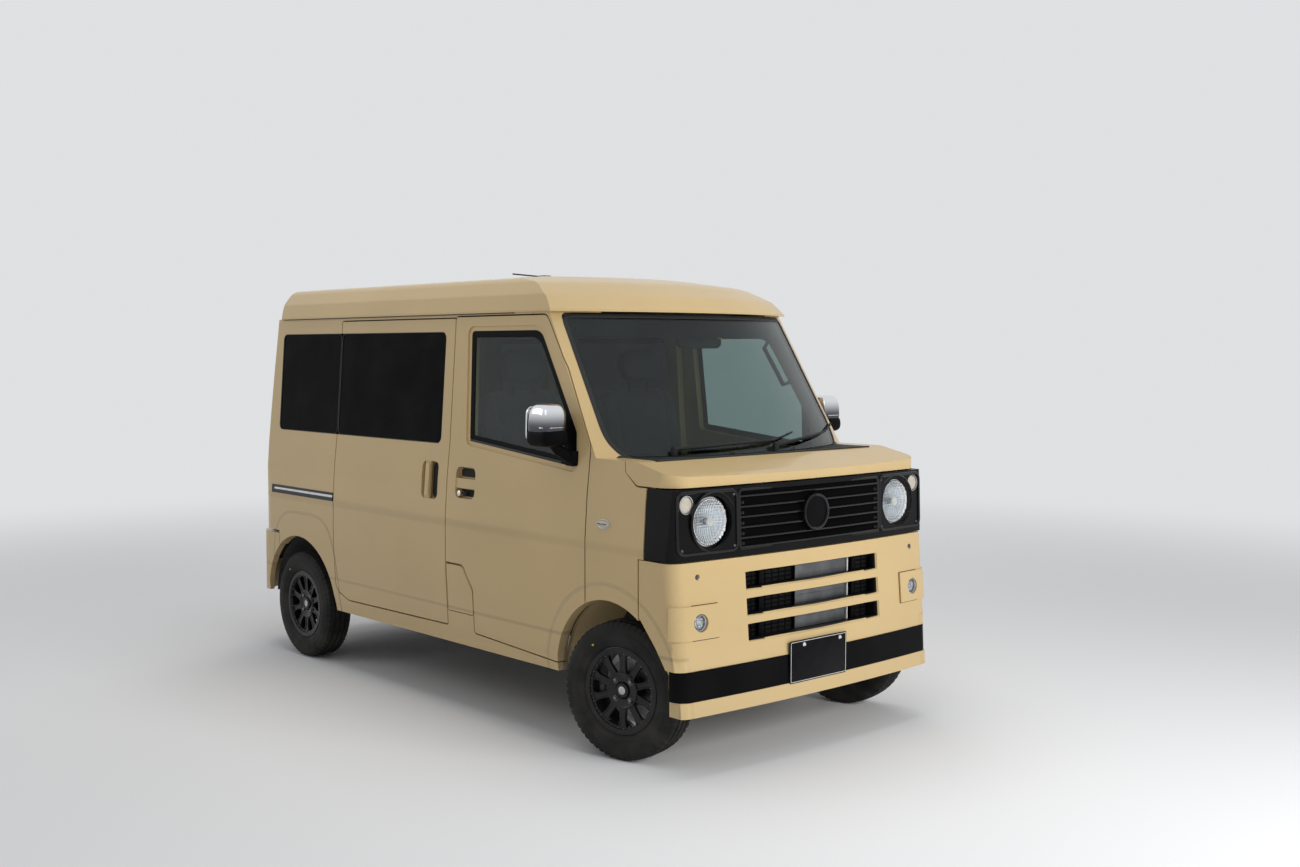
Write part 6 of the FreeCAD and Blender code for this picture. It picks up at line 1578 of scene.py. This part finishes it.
@dataclass
class Cabin:
    """Seats, dashboard, steering wheel, trims and lining.

    Attributes:
        dials: y and radius of each dial.
        dial: x and z of the dials' middles.
        hub: middle of the steering wheel.
        ring: radius of the steering wheel's ring.
    """

    dials: tuple[Pair, ...] = ((-0.395, 0.047), (-0.3, 0.04))
    dial: Pair = (1.046, 1.062)
    hub: Triple = (0.905, DRIVER_Y, 1.02)
    ring: float = 0.175

    def build(self) -> None:
        """Make the inside."""
        for name, side in NAMED_SIDES:
            FrontSeat(-side * DRIVER_Y).build(name)
        seat, back = surfaces(2)
        for side in SIDES:
            Bench(side * 0.28).fill(seat, back)
        seat.build("bench_cushions", CLOTH, Slot.SEAT, replaces=("rear_bench",))
        back.build("bench_backs", CLOTH, Slot.SEAT)
        self.dash()
        self.steering()
        self.lining()
        self.trims()

    def dash(self) -> None:
        """The dashboard's hood, dials, knobs, vents, centre panel and glove box."""
        cad_copy("dashboard", "dash_body", CABIN, Slot.CABIN, edge=0.008)
        dark, rims, vents = surfaces(3)
        t = np.linspace(0.1, math.pi - 0.1, 20)
        hood = np.stack([1.052 + 0.05 * np.sin(t), DRIVER_Y + 0.15 * np.cos(t), 1.1 + 0.035 * np.sin(t)], -1)
        dark.tube(hood, 0.01, 12)
        for y, r in self.dials:
            at = (self.dial[0], y, self.dial[1])
            rim = ((r - 0.004, 0.0), (r - 0.002, 0.004), (r, 0.003), (r, -0.004), (r - 0.004, -0.004))
            rims.revolve(rim, at, (-0.85, 0, 0.5), 36, True)
            dark.revolve(((0.001, 0.0005), (r - 0.004, 0.0), (r - 0.004, -0.004)), at, (-0.85, 0, 0.5), 36)
        place = flat_place((1.0385, 0.0, 1.0), (0, -1, 0), (-0.1, 0, 1))
        dark.frame(rounded(0.235, 0.15, 0.012, 5), place, mm(0, -6, 0, 1, 6, 3, 10, -2), (0.0, -0.005))
        for y in (-0.07, 0.0, 0.07):
            rims.revolve(mm(1, 18, 15, 17, 19, 0, 19, -4), (1.05, y, 0.905), (-1, 0, 0.1), 28)
        for y in (0.55, 0.13, -0.13, -0.55):
            vents.frame(rounded(0.1, 0.052, 0.014, 5), place, mm(0, -6, 0, 2, 5, 3, 8, -4), (y, 0.045))
            for z in (0.031, 0.04, 0.049, 0.058):
                vents.tube(line(spot(place, y - 0.04, z, -0.004), spot(place, y + 0.04, z, -0.002), 3),
                    0.0022, 6)
        dark.frame(rounded(0.36, 0.13, 0.02, 5), place, mm(0, -6, 0, 0, 2, 1.2, 4, -4), (-0.36, -0.075))
        dress("root", (dark, "dash_details", TRIM, Slot.CABIN), (rims, "dash_dials", BEZEL, Slot.CABIN),
            (vents, "dash_vents", CABIN, Slot.CABIN))

    def steering(self) -> None:
        """The steering wheel: a gripped ring, three spokes and a padded middle."""
        ring, middle = surfaces(2)
        out = np.array(Vector((-0.62, 0.0, 0.785)).normalized())
        across = np.array((0.0, 1.0, 0.0))
        up = np.cross(across, out)
        turn = np.arange(72) * TURN / 72
        section = circle(0.0128, 16)
        radial = np.cos(turn)[:, None] * across + np.sin(turn)[:, None] * up
        grip = 1.0 - 0.06 * (np.abs(np.sin(turn * 18.0)) ** 8)[:, None, None]
        ring.grid(self.hub + radial[:, None] * (self.ring + section[:, :1] * grip)
            + out * section[:, 1:] * grip, True)
        middle.revolve(mm(1, 4, 30, 3.5, 46, 1, 51.5, -6, 50, -32, 1, -33), self.hub, out, 40)
        for way in (across, -across, -up):
            share = np.linspace(0.0, 1.0, 10)[:, None]
            path = self.hub + way * (0.036 + 0.132 * share) - out * (0.012 * (1.0 - share))
            middle.tube(path, np.linspace(0.0105, 0.0085, 10), 12)
        ring.build("steering_ring", VINYL, Slot.CABIN, "steering_wheel", ("steering_wheel",))
        middle.build("steering_middle", CABIN, Slot.CABIN, "steering_wheel")

    def lining(self) -> None:
        """A padded head lining under the roof, with lamps, and sun visors.

        z = 1.832 - 0.14 |y / 0.6|^4, less a fall to the front above x = 0.25, plus ribs across.
        """
        lining, visors, lamp = surfaces(3)
        gx, gy = np.meshgrid(np.linspace(-1.38, 0.7, 40), np.linspace(-0.565, 0.565, 30), indexing="ij")
        ribs = 0.004 * np.cos(gx * TURN / 0.42)
        fall = np.clip((gx - 0.25) / 0.5, 0.0, 1.0)
        top = 1.832 - 0.14 * np.abs(gy / 0.6) ** 4.0 - 0.055 * fall ** 2 + ribs
        points = np.stack([np.stack([gx, gy, top - drop], -1) for drop in (0.01, 0.003)])
        index = np.arange(gx.size).reshape(gx.shape)
        quads = np.stack([index[:-1, :-1], index[1:, :-1], index[1:, 1:], index[:-1, 1:]], -1).reshape(-1, 4)
        edge = np.concatenate([index[0, :], index[1:, -1], index[-1, -2::-1], index[-2:0:-1, 0]])
        ahead = np.roll(edge, -1)
        walls = np.stack([edge, ahead, ahead + gx.size, edge + gx.size], -1)
        lining.add(points, np.concatenate([quads, quads[:, ::-1] + gx.size, walls]))
        for side in SIDES:
            place = flat_place((0.8, side * 0.33, 1.672), (0, 1, 0), (-0.86, 0, 0.42))
            visors.plate(rounded(0.36, 0.135, 0.03, 5), place, mm(4, -9, 0, -4, 0, 4, 4, 9))
            visors.tube([(0.745, side * 0.5, 1.705), (0.742, side * 0.33, 1.7065),
                (0.74, side * 0.16, 1.705)], 0.0045, 10)
        for x in (0.35, -0.62):
            place = flat_place((x, 0.0, 1.818), (0, 1, 0), AHEAD)
            lamp.plate(rounded(0.16, 0.075, 0.02, 5), place, mm(0, -4, 0, 8, 6, 14))
        lining.build("head_lining", LINER, Slot.CABIN, sharp=50.0)
        dress("root", (visors, "sun_visors", LINER, Slot.CABIN), (lamp, "roof_lamps", INDICATOR, Slot.CABIN))

    def trims(self) -> None:
        """Door trims with arm rests and pockets, linings, pillar handles and the gear lever."""
        linings, handles = surfaces(2)
        rows = soft(((0.235, 1.085, 0.03), (0.245, 0.66, 0.04), (0.42, 0.42, 0.05), (0.9, 0.47, 0.1),
            (1.045, 0.7, 0.06), (1.06, 1.04, 0.03)))
        for name, side in NAMED_SIDES:
            panel, place = Surface(), side_place(side)
            panel.plate(rows, place, mm(0, -46.5, 0, -53, 6, -58, 30, -59))
            panel.plate(rounded(0.4, 0.055, 0.024), place, mm(0, -57, 0, -85, 12, -95), (0.58, 0.905))
            panel.plate(rounded(0.3, 0.13, 0.03), place, mm(0, -57, 0, -72, 8, -80), (0.62, 0.555))
            panel.build("door_trim_" + name, CABIN, Slot.CABIN, "front_door_" + name)
            linings.plate(rounded(0.86, 0.44, 0.05), place, mm(0, -46.5, 0, -52, 10, -58), (-0.34, 0.88))
            path = np.array([(0.985, 0.59, 1.42), (0.955, 0.566, 1.405), (0.9, 0.56, 1.49),
                (0.845, 0.556, 1.57), (0.85, 0.585, 1.61)])
            handles.tube(path * (1, side, 1), 0.01, 12)
        handles.tube([(1.005, -0.06, 0.875), (0.985, -0.06, 0.93), (0.975, -0.06, 0.985)], 0.0075, 12)
        handles.pillow((0.948, -0.084, 0.978), (0.998, -0.036, 1.032), 0.7)
        dress("root", (linings, "side_linings", CABIN, Slot.CABIN),
            (handles, "grab_handles", CABIN, Slot.CABIN))


@dataclass
class Tail:
    """What is fixed to the tail: lamps, fittings, rear wiper, brake light.

    Attributes:
        bow: radius of the bow of tailgate and bumper.
        gate_x: x of the tailgate's outer face in the middle below the waist.
        lean: how far the tailgate leans forward per metre of height above the waist.
        waist: height of the waist.
        lamp: y and z of the right tail lamp's middle.
        window: y, z and corner radius of the tailgate's window.
    """

    bow: float = 3.6
    gate_x: float = -1.652
    lean: float = 0.112 / 0.766
    waist: float = 0.95
    lamp: Pair = (-0.58, 0.52)
    window: tuple[Triple, ...] = (
        (0.52, 1.6, 0.05), (-0.52, 1.6, 0.05), (-0.56, 1.13, 0.05), (0.56, 1.13, 0.05))

    def build(self) -> None:
        """Make the tail's details."""
        self.lamps()
        self.gate()

    def lamps(self) -> None:
        """Tail lamps: a dark housing with red, amber and pale ribbed lenses."""
        place, (y, _), house = end_place(-BUMPER_X, -1.0, self.bow), self.lamp, Surface()
        rings = mm(0, -30, 0, -2, 2, 1, 6, 1, 8, -3, 8, -30)
        house.frame(rounded(0.118, 0.156, 0.012, 5), place, rings, self.lamp)
        house.plate(rounded(0.112, 0.15, 0.01, 5), place, mm(0, -32, 0, -28), self.lamp)
        house.mirrored().build("tail_housings", PANEL, Slot.RED, replaces=("tail_lamps",))
        for name, finish, z, tall, radius in (("tail_red", RED, 0.5555, 0.073, 0.009),
                ("tail_amber", AMBER, 0.5005, 0.03, 0.007), ("tail_clear", INDICATOR, 0.4665, 0.03, 0.007)):
            lens = Surface().plate(rounded(0.101, tall, radius, 5), place, mm(0, -26, 0, -1, 3, 3), (y, z))
            lens.mirrored().build(name, finish, Slot.RED)

    def gate(self) -> None:
        """The tailgate's window seal, handle, wiper and brake light."""
        place = end_place(self.gate_x, -1.0, self.bow, self.lean, self.waist)
        seal, dark, bright, red = surfaces(4)
        outline = soft(self.window, 7)
        seal.frame(outline, place, mm(-2, -4, -2, 1, 4, 3, 12, 1, 14, -5, 6, -8))
        dark.frame(outline, place, mm(12, -11.8, 50, -11.8, 50, -12.6, 12, -12.6))
        dark.plate(rounded(0.296, 0.058, 0.016, 5), place, mm(0, -21.5, 0, -20.5, 3, -20), (0.0, 0.731))
        bright.plate(rounded(0.26, 0.02, 0.008, 5), place, mm(0, -6, 0, 1, 3, 4), (0.0, 0.757))
        red.plate(rounded(0.2, 0.022, 0.008, 5), place, mm(0, -6, 0, 2, 3, 6), (0.0, 1.648))
        dark.revolve(mm(1, 26, 14, 24, 20, 12, 22, 0, 22, -4), spot(place, 0.06, 1.108), (-1, 0, 0.1), 28)
        y = np.linspace(0.06, 0.34, 14)
        dark.tube(place(y, 1.112 + 0.09 * (y - 0.06) / 0.28, 0.018), np.linspace(0.008, 0.0045, 14), 10)
        y = np.linspace(0.12, 0.5, 20)
        dark.tube(place(y, 1.176 + 0.08 * (y - 0.12), 0.007), 0.0042)
        dark.tube([spot(place, 0.33, 1.196, height) for height in (0.005, 0.011, 0.018)], 0.0045)
        dress("tailgate", (seal, "gate_seal", SEAL, Slot.TRIM), (dark, "gate_fittings", TRIM, Slot.TRIM),
            (bright, "gate_grip", PAINT, Slot.PAINT), (red, "brake_light", RED, Slot.RED))


@dataclass
class Underside:
    """Arch liners, springs, dampers, engine ribs and floor ribs.

    Attributes:
        coils: turns of the rear springs; the front ones have three.
        under: height of the engine block's underside.
    """

    coils: float = 5.5
    under: float = 0.331

    def build(self) -> None:
        """Make what shows in the arches and from below."""
        self.liners()
        self.springs()
        self.engine()

    def liners(self) -> None:
        """Arch liners, front ones in body colour and rear ones black, r = arch radius + 4 mm."""
        turn = np.linspace(math.radians(4.0), math.radians(176.0), 48)
        for end, x, z, radius, inner, outer, finish, slot in (
                ("front", 1.262, 0.287, 0.329, 0.415, 0.672, PAINT, Slot.PAINT),
                ("rear", -1.169, 0.268, 0.353, 0.475, 0.672, UNDER, Slot.UNDER)):
            corners = ((radius, outer), (radius, inner), (radius + 0.003, inner), (radius + 0.003, outer))
            wall = [np.stack([x + r * np.cos(turn), np.full(48, -y), z + r * np.sin(turn)], -1)
                for r, y in corners]
            liner = Surface().grid(np.stack(wall, 1))
            liner.mirrored().build(end + "_liners", finish, slot, sharp=30.0)

    def springs(self) -> None:
        """Coils round the struts and posts, and the rear dampers."""
        coil, damper = surfaces(2)
        share = np.linspace(0.0, 1.0, 160)
        for side in SIDES:
            for x, y, radius, turns, foot, rise, wire in (
                    (FRONT_AXLE, 0.528, 0.036, 3.0, 0.556, 0.072, 0.0055),
                    (REAR_AXLE, 0.47, 0.053, self.coils, 0.315, 0.275, 0.0065)):
                turn = TURN * turns * share
                coil.tube(np.stack([x + radius * np.cos(turn), side * y + radius * np.sin(turn),
                    foot + rise * share], -1), wire)
            knee = (REAR_AXLE - 0.1, side * 0.43, 0.42)
            damper.tube([(REAR_AXLE - 0.075, side * 0.445, 0.23), knee], 0.019, 16)
            damper.tube([knee, (REAR_AXLE - 0.118, side * 0.42, 0.56)], 0.011, 12)
        dress("root", (coil, "coil_springs", STEEL, Slot.STEEL), (damper, "dampers", STEEL, Slot.STEEL))

    def engine(self) -> None:
        """Ribs and a sump on the plain engine block, and ribs pressed into the floor."""
        ribs, floor_ribs = surfaces(2)
        for x in np.arange(-0.38, 0.06, 0.055):
            ribs.box((x, -0.129, 0.3255), (x + 0.012, 0.129, self.under), 0.002)
        place = flat_place((0.33, 0.0, self.under), AHEAD, (0, -1, 0))
        ribs.plate(rounded(0.4, 0.34, 0.04), place, mm(0, -2, 0, 10, 30, 24))
        for y in (-0.2, -0.1, 0.0, 0.1, 0.2):
            ribs.box((0.1, y - 0.008, 0.3265), (0.16, y + 0.008, self.under), 0.002)
        for y in np.arange(-0.56, 0.57, 0.14):
            if abs(y) < 0.3 or abs(y) > 0.42:
                floor_ribs.box((-1.5, y - 0.02, 0.612), (-0.12, y + 0.02, 0.6172), 0.004)
        dress("root", (ribs, "engine_ribs", ENGINE, Slot.ENGINE),
            (floor_ribs, "floor_ribs", UNDER, Slot.UNDER))


PALE_BACK = (0.74, 0.75, 0.765, 1.0)


@dataclass
class Studio:
    """The floor, the lights and the camera.

    Attributes:
        eye: the camera's place.
        yaw: its heading from +X, in radians.
        pitch: its rise, in radians.
        roll: its turn about its own axis, in radians.
        lens: focal length in millimetres on a 36 mm sensor.
        ambient: strength of the soft light from all round.
        reach: half the floor's width.
        fade: distances between which the floor fades into the backdrop.
        lamps: name, place, target, width, height and watts of each light.
    """

    eye: Triple = (5.3252, -4.1546, 1.5616)
    yaw: float = 2.4116
    pitch: float = -0.0591
    roll: float = 0.0009
    lens: float = 39.11
    ambient: float = 0.32
    reach: float = 60.0
    fade: Pair = (2.2, 9.5)
    lamps: tuple[tuple, ...] = (
        ("key", (3.6, -4.6, 4.6), (0.3, -0.2, 0.8), 3.4, 3.0, 18.0),
        ("front", (6.4, 0.4, 2.3), (1.6, 0.0, 1.1), 3.0, 2.2, 205.0),
        ("far", (-3.5, -5.0, 3.6), (-0.6, -0.4, 0.8), 3.6, 2.6, 30.0),
        ("top", (0.0, 0.0, 6.0), (0.0, 0.0, 0.0), 5.0, 4.0, 130.0),
        ("back", (-4.5, 4.5, 3.6), (-0.6, 0.4, 1.0), 3.4, 2.6, 60.0))

    def build(self) -> None:
        """Make the stage."""
        self.floor()
        self.world()
        for lamp in self.lamps:
            self.light(*lamp)
        self.camera()

    def floor(self) -> None:
        """A pale floor that fades into the backdrop."""
        mesh = bpy.data.meshes.new("floor")
        corners = np.array([(-1, -1, 0), (1, -1, 0), (1, 1, 0), (-1, 1, 0)]) * self.reach
        mesh.from_pydata(corners.tolist(), [], [(0, 1, 2, 3)])
        tree = Tree("studio_floor")
        pale = tree.node("BsdfPrincipled", inputs={"Base Color": (0.84, 0.84, 0.84, 1.0), "Roughness": 0.9,
            "Specular IOR Level": 0.1})
        white = tree.node("Emission", inputs={"Color": PALE_BACK, "Strength": 1.0})
        away = (tree.where(0) ** 2.0 + tree.where(1) ** 2.0) ** 0.5
        mix = tree.node("MixShader", inputs={0: away.step(*self.fade), 1: pale, 2: white})
        mesh.materials.append(tree.close(mix))
        made = bpy.data.objects.new("floor", mesh)
        link(made)

    def world(self) -> None:
        """Pale to the camera, in reflections and through glass, a softer light on everything else."""
        tree = Tree("studio", True)
        camera, through, glossy = (tree.node("LightPath", out=f"Is {ray} Ray")
            for ray in ("Camera", "Transmission", "Glossy"))
        seen = tree.node("Math", {"operation": "MAXIMUM"}, {0: camera, 1: through})
        share = tree.node("Math", {"operation": "MAXIMUM"}, {0: seen, 1: glossy})
        soft_light = tree.node("Background", inputs={"Color": (0.92, 0.95, 1.0, 1.0),
            "Strength": self.ambient})
        pale = tree.node("Background", inputs={"Color": PALE_BACK, "Strength": 1.0})
        tree.close(tree.node("MixShader", inputs={0: share, 1: soft_light, 2: pale}), "World")
        bpy.context.scene.world = tree.owner

    def light(self, name: str, place: Row, target: Row, wide: float, high: float, watts: float) -> None:
        """A soft light that faces a target; only the key and far ones show in what shines."""
        lamp = bpy.data.lights.new(name, "AREA")
        lamp.shape = "RECTANGLE"
        lamp.size, lamp.size_y = wide, high
        lamp.energy = watts
        made = bpy.data.objects.new(name, lamp)
        made.location = place
        made.rotation_euler = (Vector(target) - Vector(place)).to_track_quat("-Z", "Y").to_euler()
        made.visible_glossy = name not in ("top", "back", "front")
        link(made)

    def camera(self) -> None:
        """The photo's viewpoint."""
        lens = bpy.data.cameras.new("camera")
        lens.lens, lens.sensor_width = self.lens, 36.0
        lens.clip_end = 200.0
        made = bpy.data.objects.new("camera", lens)
        flat = math.cos(self.pitch)
        way = Vector((math.cos(self.yaw) * flat, math.sin(self.yaw) * flat, math.sin(self.pitch)))
        turn = way.to_track_quat("-Z", "Y").to_matrix().to_4x4() @ Matrix.Rotation(self.roll, 4, "Z")
        made.matrix_world = Matrix.Translation(self.eye) @ turn
        link(made)
        scene = bpy.context.scene
        scene.camera = made
        scene.view_settings.view_transform = "Standard"


def main() -> None:
    """Build the van, then the studio."""
    dress_carried()
    for part in (Bodywork(), Lamps(), Nose(), Screen(), Flanks(), Wheel(), Cabin(), Tail(), Underside(),
            Studio()):
        log.info("building %s", type(part).__name__)
        part.build()


if __name__ == "__main__":
    main()
